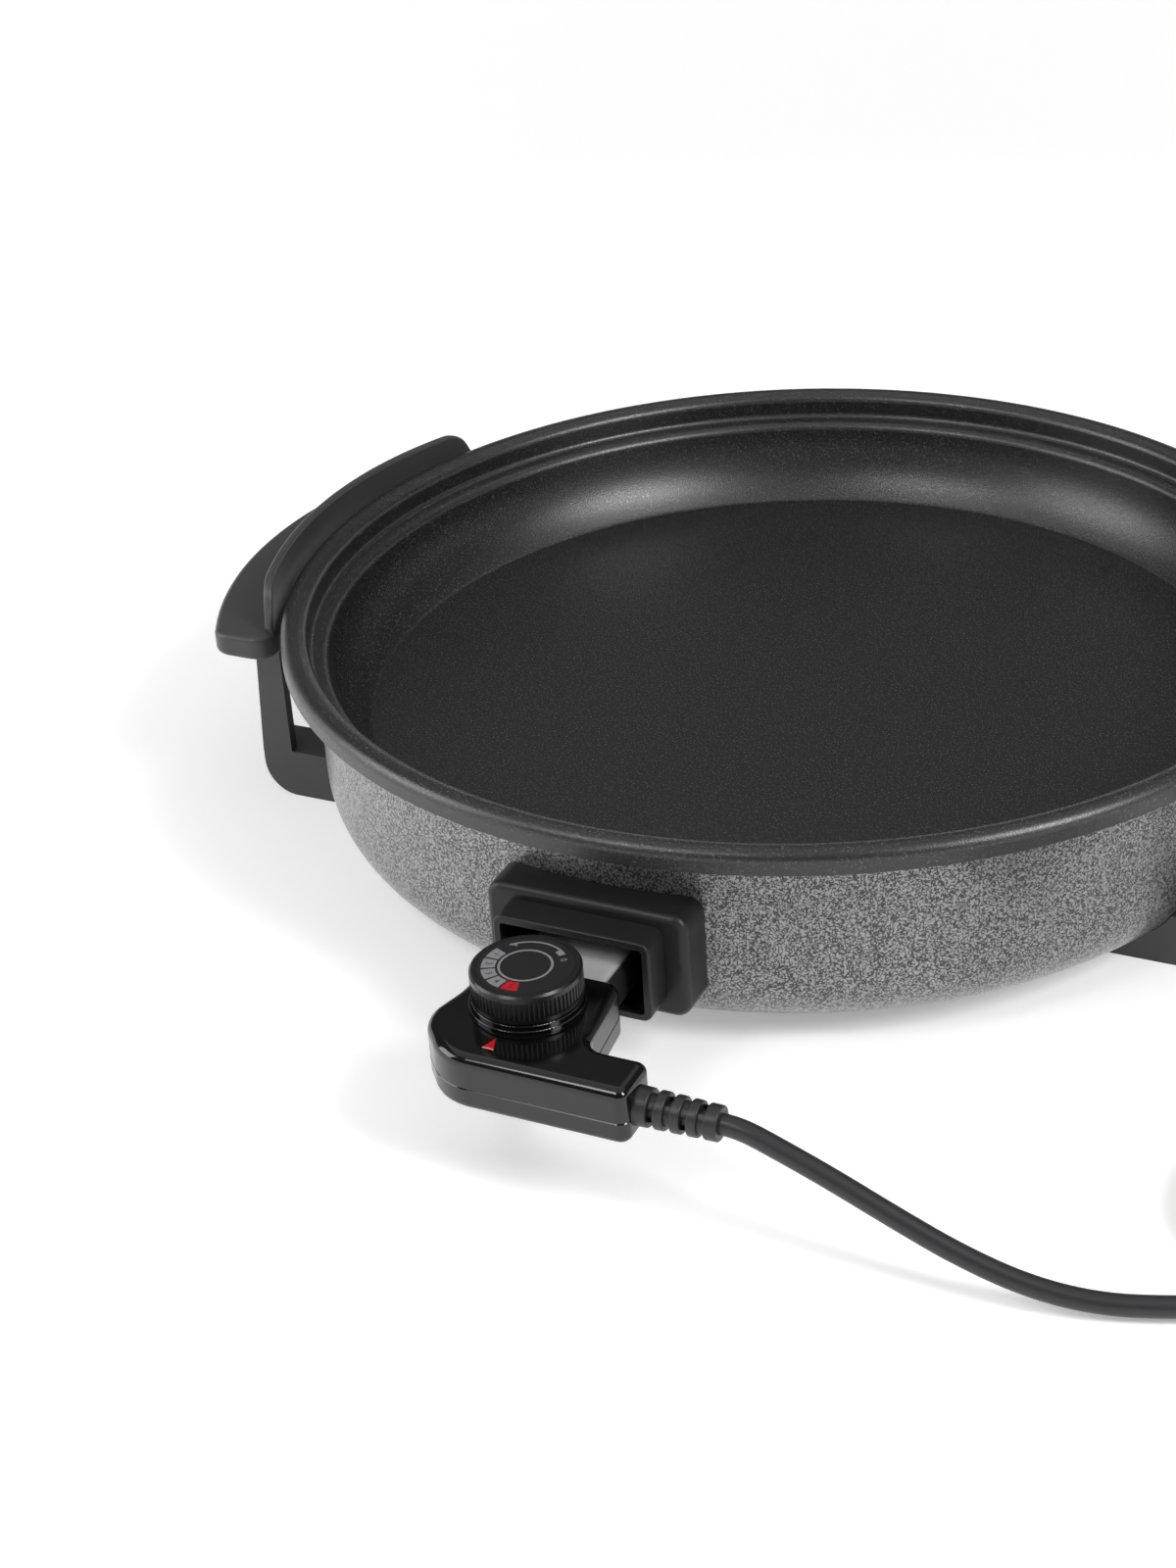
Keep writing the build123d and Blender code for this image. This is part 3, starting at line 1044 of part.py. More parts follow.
COIL_TOTAL = 2 * COIL_SPAN + pi
COIL_KNOTS = [0.0]
for stop in (COIL_SPAN, COIL_SPAN + pi, COIL_TOTAL):
    steps = ceil((stop - COIL_KNOTS[-1]) / (pi / 2))
    base = COIL_KNOTS[-1]
    COIL_KNOTS += [base + (stop - base) * (step + 1) / steps for step in range(steps)]
with BuildPart() as cord_coil:
    with BuildLine() as coil_path:
        Line(COIL_START, COIL_ENTRY)
        for here, there in zip(COIL_KNOTS, COIL_KNOTS[1:]):
            start, start_way = coil_state(here)
            end, end_way = coil_state(there)
            reach = end - start
            spread = 1 - start_way.dot(end_way)
            lean = reach.dot(start_way + end_way)
            arm = (sqrt(lean ** 2 + 2 * spread * reach.dot(reach)) - lean) / (2 * spread)
            middle = (start + end + (start_way - end_way) * arm) / 2
            TangentArc(start, middle, tangent=start_way)
            TangentArc(middle, end, tangent=end - end_way * arm - start - start_way * arm)
        COIL_EXIT, COIL_WAY = coil_state(COIL_TOTAL)
        Line(COIL_EXIT, COIL_EXIT + COIL_WAY * CORD_DIAMETER)
    with BuildSketch(Plane(origin=COIL_START, z_dir=COIL_HEADING)):
        Circle(CORD_DIAMETER / 2)
    sweep(path=coil_path.line)

# Tie around all turns of the coil
TIE_BEARING = COIL_PHASE + radians(TIE_TURN)
TIE_RADII = []
for turn in range(ceil(COIL_TURNS)):
    tie_angle = radians(TIE_TURN) + 2 * pi * turn
    if tie_angle < COIL_TOTAL:
        passing = coil_state(tie_angle)[0] - COIL_CENTRE
        TIE_RADII.append(sqrt(passing.X ** 2 + passing.Y ** 2))
TIE_MARGIN = CORD_DIAMETER + 2 * TIE_GAP
with BuildPart() as cord_tie:
    tie_wide = max(TIE_RADII) - min(TIE_RADII) + TIE_MARGIN
    tie_high = COIL_STEP + TIE_MARGIN
    tie_out = Vector(cos(TIE_BEARING), sin(TIE_BEARING))
    tie_middle = COIL_CENTRE + tie_out * (max(TIE_RADII) + min(TIE_RADII)) / 2 + Vector(0, 0, COIL_STEP / 2)
    with BuildSketch(Plane(origin=tie_middle, x_dir=tie_out, z_dir=(tie_out.Y, -tie_out.X, 0))):
        RectangleRounded(tie_wide + 2 * TIE_SHEET, tie_high + 2 * TIE_SHEET, CORD_DIAMETER / 2)
        RectangleRounded(tie_wide, tie_high, CORD_DIAMETER / 2 - TIE_SHEET, mode=Mode.SUBTRACT)
    extrude(amount=TIE_WIDTH / 2, both=True)

# Mains plug lying on its back, with two pins and side earth clips
PLUG_START = COIL_EXIT + COIL_WAY * CORD_DIAMETER
PLUG_AXIS = PLUG_START + COIL_WAY * (PLUG_SLEEVE + PLUG_DIAMETER / 2 - PLUG_ROUND)
PLUG_BASE = Plane(origin=(PLUG_AXIS.X, PLUG_AXIS.Y, TABLE_Z), x_dir=COIL_WAY, z_dir=(0, 0, 1))
CLIP_PLACE = PLUG_DIAMETER / 2 - CLIP_SHEET / 2
CLIP_PLACES = [(0, -CLIP_PLACE), (0, CLIP_PLACE)]
with BuildPart() as mains_plug:
    with BuildSketch(PLUG_BASE):
        Circle(PLUG_DIAMETER / 2)
    extrude(amount=PLUG_THICK)
    fillet(edges().filter_by(GeomType.CIRCLE), PLUG_ROUND)
    with BuildSketch(Plane(origin=PLUG_START, z_dir=COIL_WAY)):
        Circle(PLUG_SLEEVE_THIN / 2)
    with BuildSketch(Plane(origin=PLUG_START + COIL_WAY * (PLUG_SLEEVE + PLUG_ROUND), z_dir=COIL_WAY)):
        Circle(PLUG_SLEEVE_THICK / 2)
    loft()
    with BuildSketch(PLUG_BASE.offset(PLUG_THICK)):
        with Locations(CLIP_PLACES):
            Rectangle(CLIP_WIDTH + 2 * FIT_GAP, CLIP_SHEET + 4 * FIT_GAP)
    extrude(amount=-CLIP_HEIGHT, mode=Mode.SUBTRACT)
with BuildPart() as plug_pins:
    with BuildSketch(PLUG_BASE.offset(PLUG_THICK)):
        with GridLocations(PLUG_PIN_SPACING, 0, 2, 1):
            Circle(PLUG_PIN / 2)
    extrude(amount=PLUG_PIN_LENGTH)
    fillet(edges().group_by(Axis.Z)[-1], PLUG_PIN / 4)
with BuildPart() as plug_earth_clips:
    with BuildSketch(PLUG_BASE.offset(PLUG_THICK - CLIP_HEIGHT)):
        with Locations(CLIP_PLACES):
            Rectangle(CLIP_WIDTH, CLIP_SHEET)
    extrude(amount=CLIP_HEIGHT - PLUG_ROUND)

# Figures that show whether the lead is whole
print("bend radii", [round(radius, 1) for radius in bend_radii(CORD_ROUTE)])
SECTION = pi * CORD_DIAMETER ** 2 / 4
for name, piece, path in (("cord", supply_cord, cord_path.line), ("coil", cord_coil, coil_path.line)):
    length = sum(edge.length for edge in path.edges())
    print(name, round(length, 1), "long, volume over section times length:",
          round(piece.part.volume / (SECTION * length), 5))
COIL_POINTS = [coil_state(COIL_TOTAL * step / 600)[0] for step in range(601)]
APART = round(600 * 0.5 / COIL_TURNS)
COIL_GAP = min(
    (there - here).length for index, here in enumerate(COIL_POINTS) for there in COIL_POINTS[index + APART:])
print("least gap between turns", round(COIL_GAP - CORD_DIAMETER, 2))

PIECES = {
    "cooking_pan": cooking_pan, "outer_shell": outer_shell, "heating_element": heating_element,
    "pan_studs": pan_studs, "element_clamps": element_clamps, "clamp_nuts": clamp_nuts,
    "base_nuts": base_nuts, "heat_spreader": heat_spreader, "shell_spacers": shell_spacers,
    "socket_housing": socket_housing, "terminal_plate": terminal_plate, "socket_screws": socket_screws,
    "element_bushes": element_bushes, "terminal_pins": terminal_pins, "earth_strip": earth_strip,
    "sensor_well": sensor_well, "well_strap": well_strap, "handle_left": handle_left,
    "handle_right": handle_right, "foot_screws": foot_screws, "foot_nuts": foot_nuts,
    "case_bottom": case_bottom, "case_top": case_top, "case_screws": case_screws,
    "plug_sleeve": plug_sleeve, "contact_carrier": contact_carrier, "contact_tubes": contact_tubes,
    "sensor_probe": sensor_probe, "thermostat_frame": thermostat_frame, "stack_insulators": stack_insulators,
    "bimetal_blade": bimetal_blade, "contact_blade": contact_blade, "terminal_block": terminal_block,
    "lead_end": lead_end, "clamp_bar": clamp_bar, "clamp_screws": clamp_screws, "pilot_lamp": pilot_lamp,
    "pilot_lens": pilot_lens, "strain_relief": strain_relief, "knob": knob, "knob_dial": knob_dial,
    "knob_spindle": knob_spindle, "supply_cord": supply_cord, "cord_coil": cord_coil, "cord_tie": cord_tie,
    "mains_plug": mains_plug, "plug_pins": plug_pins, "plug_earth_clips": plug_earth_clips,
}
for name, piece in PIECES.items():
    piece.part.label = name
    export_step(piece.part, f"parts/{name}.step")
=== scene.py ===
"""Electric party pan: bowl, finishes, dial print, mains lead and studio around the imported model."""
from math import atan2, ceil, cos, pi, radians, sin, tan

import bpy
from bpy.props import FloatProperty, FloatVectorProperty, IntProperty, PointerProperty
from bpy.types import Operator, Panel, PropertyGroup
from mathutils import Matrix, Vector


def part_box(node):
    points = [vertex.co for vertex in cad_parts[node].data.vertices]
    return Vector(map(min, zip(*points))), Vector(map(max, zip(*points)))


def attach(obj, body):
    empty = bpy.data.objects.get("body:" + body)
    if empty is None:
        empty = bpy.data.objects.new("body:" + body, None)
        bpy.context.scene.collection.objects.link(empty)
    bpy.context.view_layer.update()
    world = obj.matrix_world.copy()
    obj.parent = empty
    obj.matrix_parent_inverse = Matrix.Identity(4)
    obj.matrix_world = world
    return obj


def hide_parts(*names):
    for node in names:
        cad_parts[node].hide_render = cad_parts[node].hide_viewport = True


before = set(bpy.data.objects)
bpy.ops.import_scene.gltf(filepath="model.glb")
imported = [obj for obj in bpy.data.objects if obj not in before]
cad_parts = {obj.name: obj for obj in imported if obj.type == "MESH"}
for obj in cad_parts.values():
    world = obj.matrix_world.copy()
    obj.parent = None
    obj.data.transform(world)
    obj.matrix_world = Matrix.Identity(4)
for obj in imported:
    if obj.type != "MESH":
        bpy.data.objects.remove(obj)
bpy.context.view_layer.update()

bl_info = {
    "name": "Electric party pan",
    "version": (1, 0, 0),
    "blender": (4, 5, 0),
    "location": "View3D > Sidebar > Pan",
    "description": "Gives the packed pan its bowl, finishes, dial print, lead and studio",
    "category": "Object",
}

MM = 0.001
BLACK = (0, 0, 0, 1)
WHITE = (1, 1, 1, 1)
SAME_POINT = 1e-6  # points of a mesh that lie this close are merged
SMOOTH_BELOW = radians(30)  # edges of the bowl that turn less than this are shaded smooth
BAND_STEP = radians(3)  # widest step along a printed band
BAND_STEPS = 6  # fewest steps along a printed band

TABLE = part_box("handle_left")[0].z
DIAL_LOW, DIAL_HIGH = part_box("knob_dial")
KNOB_AXIS = Vector(((DIAL_LOW.x + DIAL_HIGH.x) / 2, (DIAL_LOW.y + DIAL_HIGH.y) / 2, DIAL_HIGH.z))
LEAD_LOW, LEAD_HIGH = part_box("lead_end")
LEAD_EXIT = Vector((LEAD_HIGH.x, *((LEAD_LOW + LEAD_HIGH) / 2).yz))

# The lead's way down to the table: millimetres out and sideways, and the share of the drop.
LEAD_FALL = (
    (0, 0, 0), (6, 0, 0), (18, -0.3, 0.11), (36, -1.1, 0.28), (56, -2.3, 0.49), (78, -3, 0.72),
    (100, -2, 0.9), (121, 1.6, 0.99), (142, 8.4, 1), (163, 17.2, 1), (186, 25.1, 1))

# Each softbox: its name, its place, its width and height in metres, and its power in watts.
SOFTBOXES = (
    ("front_softbox", (-0.5, -1.35, 1.6), (0.7, 0.6), 10),
    ("right_softbox", (2.0, -0.6, 1.7), (0.7, 1.1), 43),
    ("left_softbox", (-1.9, -0.9, 0.9), (1.2, 1.2), 20),
    ("top_softbox", (0, 0.6, 2.5), (4, 3.6), 24))


def colour(name, description, default):
    """A colour that a user may change."""
    return FloatVectorProperty(
        name=name, description=description, subtype="COLOR", size=4, min=0, max=1,
        default=(*default, 1))


def length(name, description, default):
    """A length in metres that a user may change."""
    return FloatProperty(name=name, description=description, unit="LENGTH", default=default)


def angle(name, description, degrees):
    """An angle that a user may change."""
    return FloatProperty(
        name=name, description=description, subtype="ANGLE", default=radians(degrees))


def count(name, description, default):
    """A whole number that a user may change."""
    return IntProperty(name=name, description=description, default=default)


class PAN_PG_finish(PropertyGroup):
    """Colours of the pan's finishes."""

    coating: colour("Coating", "Non-stick coating of the bowl", (0.0068, 0.0068, 0.0071))
    coating_fleck: colour("Coating fleck", "Fine light flecks of the coating", (0.07, 0.07, 0.073))
    lacquer: colour("Lacquer", "Light ground of the shell's hammer lacquer", (0.35, 0.35, 0.348))
    lacquer_vein: colour("Lacquer vein", "Dark veins of the hammer lacquer", (0.01, 0.01, 0.0105))
    phenolic: colour("Phenolic", "Handles, and darker on the socket", (0.05, 0.05, 0.0505))
    # Sleeve: a painted highlight for its top, as if lit from above, and painted shade for its sides.
    sleeve: colour("Sleeve", "Bright top of the plated sleeve", (0.8, 0.8, 0.8))
    sleeve_painted_shade: colour("Sleeve side", "Blackened sides of the sleeve", (0.01, 0.01, 0.01))
    zinc: colour("Zinc", "Plated steel pieces", (0.55, 0.55, 0.56))
    aluminium: colour("Aluminium", "Heat spreader", (0.78, 0.78, 0.79))
    brass: colour("Brass", "Contacts, sensor well and plug pins", (0.72, 0.53, 0.25))
    steatite: colour("Steatite", "Ceramic insulators", (0.78, 0.75, 0.68))
    case: colour("Case", "Glossy case of the control", (0.003, 0.003, 0.0032))
    knob: colour("Knob", "Moulded knob", (0.005, 0.005, 0.0053))
    dial: colour("Dial", "Face of the dial", (0.017, 0.017, 0.0175))
    lens: colour("Lens", "Lens of the pilot light", (0.55, 0.006, 0.01))
    bulb: colour("Bulb", "Bulb of the pilot light", (0.75, 0.4, 0.25))
    print_light: colour("Print", "Light marks of the dial", (0.24, 0.24, 0.25))
    print_red: colour("Red print", "Hottest mark of the dial", (0.52, 0.004, 0.012))
    sheath: colour("Sheath", "Lead, strain relief and plug", (0.024, 0.024, 0.026))


class PAN_PG_bowl(PropertyGroup):
    """Sizes of the bowl's pressed sheet, from its rim inwards."""

    floor_inset: length("Floor inset", "From the rim to the floor's edge", 31 * MM)
    floor_round: length("Floor round", "Rounding where the floor meets the wall", 2.5 * MM)
    wall_inset: length("Wall inset", "From the rim to the wall's knee", 18.2 * MM)
    wall_rise: length("Wall rise", "Height of the wall's knee", 12.8 * MM)
    wall_bow: length("Wall bow", "Rounding of the wall's knee", 40 * MM)
    ledge_inset: length("Ledge inset", "From the rim to the ledge's inner edge", 17.5 * MM)
    ledge_drop: length("Ledge drop", "From the rim down to the ledge's inner edge", 12.5 * MM)
    ledge_fall: length("Ledge fall", "How far the ledge falls inwards", 1.5 * MM)
    ledge_width: length("Ledge width", "Width of the ledge", 7 * MM)
    ledge_edge_round: length("Ledge edge", "Rounding of the ledge's inner edge", 3.6 * MM)
    ledge_round: length("Ledge corner", "Rounding of the corner behind the ledge", 2.4 * MM)
    bead_width: length("Bead width", "Width of the rim's bead", 10.4 * MM)
    bead_fall: length("Bead fall", "How far the bead falls inwards", 2.3 * MM)
    bead_crest: length("Bead crest", "From the rim to where the bead starts to fall", 6.4 * MM)
    bead_inner_round: length("Bead inside", "Rounding of the bead's inner edge", 3.6 * MM)
    bead_top_round: length("Bead top", "Rounding of the bead's top", 6 * MM)
    bead_outer_round: length("Bead outside", "Rounding of the bead's outer edge", 4.5 * MM)
    lip_height: length("Lip height", "Height of the rim's outer lip", 8.6 * MM)
    spin_steps: count("Spin steps", "Facets around the bowl", 240)
    arc_step: angle("Arc step", "Widest turn between two points of a rounding", 6)


class PAN_PG_dial(PropertyGroup):
    """Sizes of the dial's print."""

    ring_inner: length("Ring inside", "Inner radius of the middle ring", 8.3 * MM)
    ring_outer: length("Ring outside", "Outer radius of the middle ring", 9.1 * MM)
    block_inner: length("Block inside", "Inner radius of the numbered blocks", 9.9 * MM)
    block_outer: length("Block outside", "Outer radius of the numbered blocks", 14.5 * MM)
    block_sweep: angle("Block angle", "Angle that each numbered block covers", 23)
    first_block: angle("First block", "Bearing of the block for the first setting", 168)
    block_pitch: angle("Block pitch", "Angle from one block to the next", 26.5)
    blocks: count("Blocks", "Number of settings", 5)
    arrow_outer: length("Arrow outside", "Outer radius of the arrow", 13.9 * MM)
    tail_inner: length("Tail inside", "Inner radius of the arrow's tail", 11.6 * MM)
    tail_start: angle("Tail start", "Bearing at which the arrow's tail starts", 47)
    tail_sweep: angle("Tail angle", "Angle that the arrow's tail covers", 13)
    shaft_inner: length("Shaft inside", "Inner radius of the arrow's shaft", 13.2 * MM)
    shaft_sweep: angle("Shaft angle", "Angle that the arrow's shaft covers", 79)
    barb_inner: length("Barb inside", "Inner radius of the arrow's barb", 11.9 * MM)
    barb_outer: length("Barb outside", "Outer radius of the arrow's barb", 13.3 * MM)
    barb_start: angle("Barb start", "Bearing at which the arrow's barb starts", 129)
    barb_sweep: angle("Barb angle", "Angle that the arrow's barb covers", 9)
    zero_radius: length("Zero radius", "From the knob's axis to the zero", 12.6 * MM)
    zero_bearing: angle("Zero bearing", "Bearing of the zero", 34)
    print_thick: length("Print thickness", "How far the print stands on the dial", 0.04 * MM)
    figure_height: length("Figure height", "Height of the figures", 3.1 * MM)


class PAN_PG_lead(PropertyGroup):
    """Sizes of the mains lead."""

    diameter: length("Diameter", "Thickness of the lead", 7 * MM)
    lift: length("Lift", "Height of the resting lead's middle above the table", 5.1 * MM)
    coil_radius: length("Coil radius", "Radius of the coil's outermost turn", 45.5 * MM)
    coil_step: length("Coil step", "Distance from one turn to the next", 7.8 * MM)
    coil_turns: FloatProperty(
        name="Coil turns", description="Turns in both layers of the coil", default=4.2)
    points_per_turn: count("Points per turn", "Control points in one turn", 16)


class PAN_PG_stage(PropertyGroup):
    """Floor, light and camera."""

    floor_radius: length("Floor", "Radius of the round floor", 7)
    floor_sides: count("Floor sides", "Straight sides of the round floor", 96)
    backdrop_height: length("Backdrop", "Height of the backdrop around the floor", 1.2)
    glow_near: length("Glow near", "Distance up to which the floor has its own glow", 0.9)
    glow_far: length("Glow far", "Distance from which floor and backdrop look white", 3.6)
    floor_colour: colour("Floor colour", "Pale floor and backdrop", (0.95, 0.95, 0.95))
    floor_glow: colour("Floor glow", "Added to the floor for the eye and in gloss", (0.3, 0.3, 0.3))
    world_colour: colour("World", "Faint light from all around", (0.12, 0.12, 0.12))
    camera_place: FloatVectorProperty(
        name="Camera place", description="Where the camera stands", subtype="TRANSLATION",
        default=(0.3529, -0.8700, 0.4985))
    camera_turn: FloatVectorProperty(
        name="Camera turn", description="Which way the camera looks", subtype="EULER",
        default=(radians(61.882), radians(1.949), radians(22.559)))
    camera_lens: FloatProperty(
        name="Lens", description="Focal length in millimetres", default=60.75)
    camera_shift: FloatVectorProperty(
        name="Shift", description="Shift of the picture's middle", size=2, default=(-0.1, -0.0625))


class Wire:
    """A shader socket that takes part in Python arithmetic."""

    def __init__(self, finish, socket):
        self.finish = finish
        self.socket = socket

    def math(self, operation, first, second):
        """Adds a Math node on two wires or numbers."""
        return self.finish.node("ShaderNodeMath", {"operation": operation}, {0: first, 1: second})

    def __add__(self, other):
        return self.math("ADD", self, other)

    def __sub__(self, other):
        return self.math("SUBTRACT", self, other)

    def __rsub__(self, other):
        return self.math("SUBTRACT", other, self)

    def __mul__(self, other):
        return self.math("MULTIPLY", self, other)

    __radd__ = __add__
    __rmul__ = __mul__


class Finish:
    """A node material under construction around its Principled shader."""

    def __init__(self, name, **constants):
        self.material = bpy.data.materials.new(name)
        self.material.use_nodes = True
        self.tree = self.material.node_tree
        self.shader = self.tree.nodes["Principled BSDF"]
        self.place = self.node("ShaderNodeTexCoord", output="Object")
        for socket, value in constants.items():
            self.shader.inputs[socket.replace("_", " ")].default_value = value

    def node(self, kind, settings=None, sockets=None, output=0):
        """Adds a node: its settings first, then the values or links of its sockets."""
        made = self.tree.nodes.new(kind)
        for key, value in (settings or {}).items():
            if key == "stops":
                for element, (position, shade) in zip(made.color_ramp.elements, value):
                    element.position = position
                    element.color = (shade, shade, shade, 1)
            else:
                setattr(made, key, value)
        for key, value in (sockets or {}).items():
            self.feed(made.inputs[key], value)
        return Wire(self, made.outputs[output])

    def feed(self, socket, value):
        """Links a wire to a socket, or sets the socket's value."""
        if isinstance(value, Wire):
            self.tree.links.new(value.socket, socket)
        else:
            socket.default_value = value

    def noise(self, scale, detail, distortion=0.0):
        """Even noise in the model's own space."""
        return self.node(
            "ShaderNodeTexNoise", {},
            {"Vector": self.place, "Scale": scale, "Detail": detail, "Distortion": distortion})

    def step(self, value, low, high):
        """A soft step of a noise, from 0 at low to 1 at high."""
        return self.node("ShaderNodeValToRGB", {"stops": [(low, 0), (high, 1)]}, {"Fac": value})

    def rise(self, value, low, high):
        """A straight rise over a length, from 0 at low to 1 at high."""
        return self.node(
            "ShaderNodeMapRange", {"clamp": True},
            {"Value": value, "From Min": low, "From Max": high})

    def mix(self, factor, first, second):
        """A colour between two colours, on the Mix node's sockets for colours."""
        return self.node(
            "ShaderNodeMix", {"data_type": "RGBA"}, {0: factor, 6: first, 7: second}, output=2)

    def bump(self, height, distance, strength):
        """A normal that follows the height."""
        return self.node(
            "ShaderNodeBump", {}, {"Height": height, "Distance": distance, "Strength": strength})

    def surface(self, **wires):
        """Feeds the shader's sockets and gives the material."""
        for socket, value in wires.items():
            self.feed(self.shader.inputs[socket.replace("_", " ")], value)
        return self.material


def faded(shade, share):
    """A colour taken down to a share of itself, at full alpha."""
    return (shade[0] * share, shade[1] * share, shade[2] * share, 1)


def coating_finish(colours):
    """Dark non-stick coating with fine flecks and a pebbled skin."""
    finish = Finish("non_stick_coating", Specular_IOR_Level=0.78)
    pebble = finish.noise(scale=2000, detail=2.0)
    fleck = finish.step(finish.noise(scale=1350, detail=1.0), low=0.6, high=0.68)
    cloud = finish.noise(scale=14, detail=3.0)
    return finish.surface(
        Base_Color=finish.mix(fleck, colours.coating[:], colours.coating_fleck[:]),
        Roughness=0.29 + 0.06 * cloud + 0.06 * pebble - 0.1 * fleck,
        Normal=finish.bump(pebble, distance=0.1 * MM, strength=0.8))


def lacquer_finish(colours):
    """Hammer lacquer: a light metallic ground broken up by dark crinkled veins."""
    finish = Finish("hammer_lacquer", Coat_Weight=0.9, Coat_Roughness=0.3)
    cell = finish.noise(scale=880, detail=1.0, distortion=0.3)
    off_vein = finish.node("ShaderNodeMath", {"operation": "ABSOLUTE"}, {0: cell - 0.5})
    light = finish.step(off_vein, low=0.05, high=0.1)
    tone = finish.noise(scale=35, detail=2.0)
    ground = finish.mix(tone, colours.lacquer[:], faded(colours.lacquer, 0.8))
    return finish.surface(
        Base_Color=finish.mix(light, colours.lacquer_vein[:], ground),
        Metallic=0.3 + 0.45 * light,
        Roughness=0.5 - 0.16 * light,
        Normal=finish.bump(light, distance=0.1 * MM, strength=0.6))


def moulded_finish(name, shade, roughness, grain, depth, coat=0.0, gloss=0.5):
    """A moulded plastic, rubber or ceramic with a fine grain and a little uneven gloss."""
    finish = Finish(name, Coat_Weight=coat, Coat_Roughness=0.06, Specular_IOR_Level=gloss)
    skin = finish.noise(scale=grain, detail=2.0)
    cloud = finish.noise(scale=45, detail=3.0)
    return finish.surface(
        Base_Color=finish.mix(cloud, shade[:], faded(shade, 0.75)),
        Roughness=roughness - 0.05 + 0.1 * cloud,
        Normal=finish.bump(skin, distance=depth, strength=0.5))


def metal_finish(name, shade, roughness):
    """A bare or plated metal with faint uneven polish."""
    finish = Finish(name, Metallic=1.0)
    haze = finish.noise(scale=260, detail=4.0, distortion=0.4)
    return finish.surface(
        Base_Color=finish.mix(haze, shade[:], faded(shade, 0.86)),
        Roughness=roughness * 0.75 + roughness * 0.5 * haze,
        Normal=finish.bump(haze, distance=0.02 * MM, strength=0.4))


def sleeve_finish(colours):
    """Plated sleeve with a painted highlight on its top and painted shade down its sides."""
    finish = Finish("sleeve_painted_light")
    haze = finish.noise(scale=260, detail=4.0, distortion=0.4)
    height = finish.node("ShaderNodeSeparateXYZ", {}, {"Vector": finish.place}, output="Z")
    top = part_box("plug_sleeve")[1].z
    # Painted highlight on the top face, as if lit from above, falling to painted shade down the sides
    # within the top 0.9 mm.
    painted_highlight = finish.rise(height, low=top - 0.9 * MM, high=top - 0.3 * MM)
    plate = finish.mix(haze, colours.sleeve[:], faded(colours.sleeve, 0.875))
    return finish.surface(
        Base_Color=finish.mix(painted_highlight, colours.sleeve_painted_shade[:], plate),
        Metallic=0.5 * painted_highlight,
        Roughness=0.4 - 0.05 * painted_highlight + 0.06 * haze,
        Normal=finish.bump(haze, distance=0.02 * MM, strength=0.4))


def print_finish(name, shade):
    """Screen-printed ink of slightly broken tone."""
    finish = Finish(name, Specular_IOR_Level=0.3)
    wear = finish.noise(scale=1300, detail=3.0)
    return finish.surface(
        Base_Color=finish.mix(wear, shade[:], faded(shade, 0.7)),
        Roughness=0.42 + 0.15 * wear)


def lens_finish(shade):
    """Red moulded lens with a faint inner cloud."""
    finish = Finish("pilot_red", Coat_Weight=0.6, Coat_Roughness=0.05)
    cloud = finish.noise(scale=300, detail=2.0)
    return finish.surface(
        Base_Color=finish.mix(cloud, shade[:], faded(shade, 0.6)),
        Roughness=0.2 + 0.1 * cloud)


def paint(material, *names):
    """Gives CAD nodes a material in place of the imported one."""
    for name in names:
        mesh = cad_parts[name].data
        mesh.materials.clear()
        mesh.materials.append(material)


def clear_selection():
    """Leaves edit mode with nothing selected."""
    if bpy.context.object and bpy.context.object.mode != "OBJECT":
        bpy.ops.object.mode_set(mode="OBJECT")
    bpy.ops.object.select_all(action="DESELECT")


def settle(piece, name, material, body):
    """Names a piece, applies its place, gives it its finish and lets it ride on a body."""
    clear_selection()
    piece.select_set(True)
    bpy.context.view_layer.objects.active = piece
    bpy.ops.object.transform_apply(location=True, rotation=True, scale=True)
    piece.name = name
    piece.data.materials.clear()
    piece.data.materials.append(material)
    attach(piece, body)


def thicken(height):
    """Raises the flat mesh being edited into a thin closed plate."""
    bpy.ops.mesh.select_all(action="SELECT")
    bpy.ops.mesh.remove_doubles(threshold=SAME_POINT)
    bpy.ops.mesh.extrude_region_move(TRANSFORM_OT_translate={"value": (0, 0, height)})
    bpy.ops.mesh.select_all(action="SELECT")
    bpy.ops.mesh.normals_make_consistent(inside=False)
    bpy.ops.object.mode_set(mode="OBJECT")


def drawn_wire(points):
    """A new mesh being edited: one wire, extruded vertex by vertex through the points."""
    clear_selection()
    bpy.ops.mesh.primitive_plane_add(size=1)
    bpy.ops.object.mode_set(mode="EDIT")
    bpy.ops.mesh.select_mode(type="VERT")
    bpy.ops.mesh.merge(type="CENTER")
    bpy.ops.transform.translate(value=points[0])
    for here, there in zip(points, points[1:]):
        bpy.ops.mesh.extrude_region_move(TRANSFORM_OT_translate={"value": there - here})
    return bpy.context.object


def rounded_line(corners, rounds, widest):
    """Points along a line whose inner corners are arcs, in steps no wider than the given turn."""
    points = [corners[0]]
    for before, corner, after, size in zip(corners, corners[1:], corners[2:], rounds):
        arriving = (corner - before).normalized()
        leaving = (after - corner).normalized()
        turn = arriving.angle(leaving)
        inward = (leaving - arriving * cos(turn)) / sin(turn)
        start = corner - arriving * size * tan(turn / 2)
        steps = ceil(turn / widest)
        for step in range(steps + 1):
            bend = turn * step / steps
            points.append(start + (arriving * sin(bend) + inward * (1 - cos(bend))) * size)
    return points + [corners[-1]]


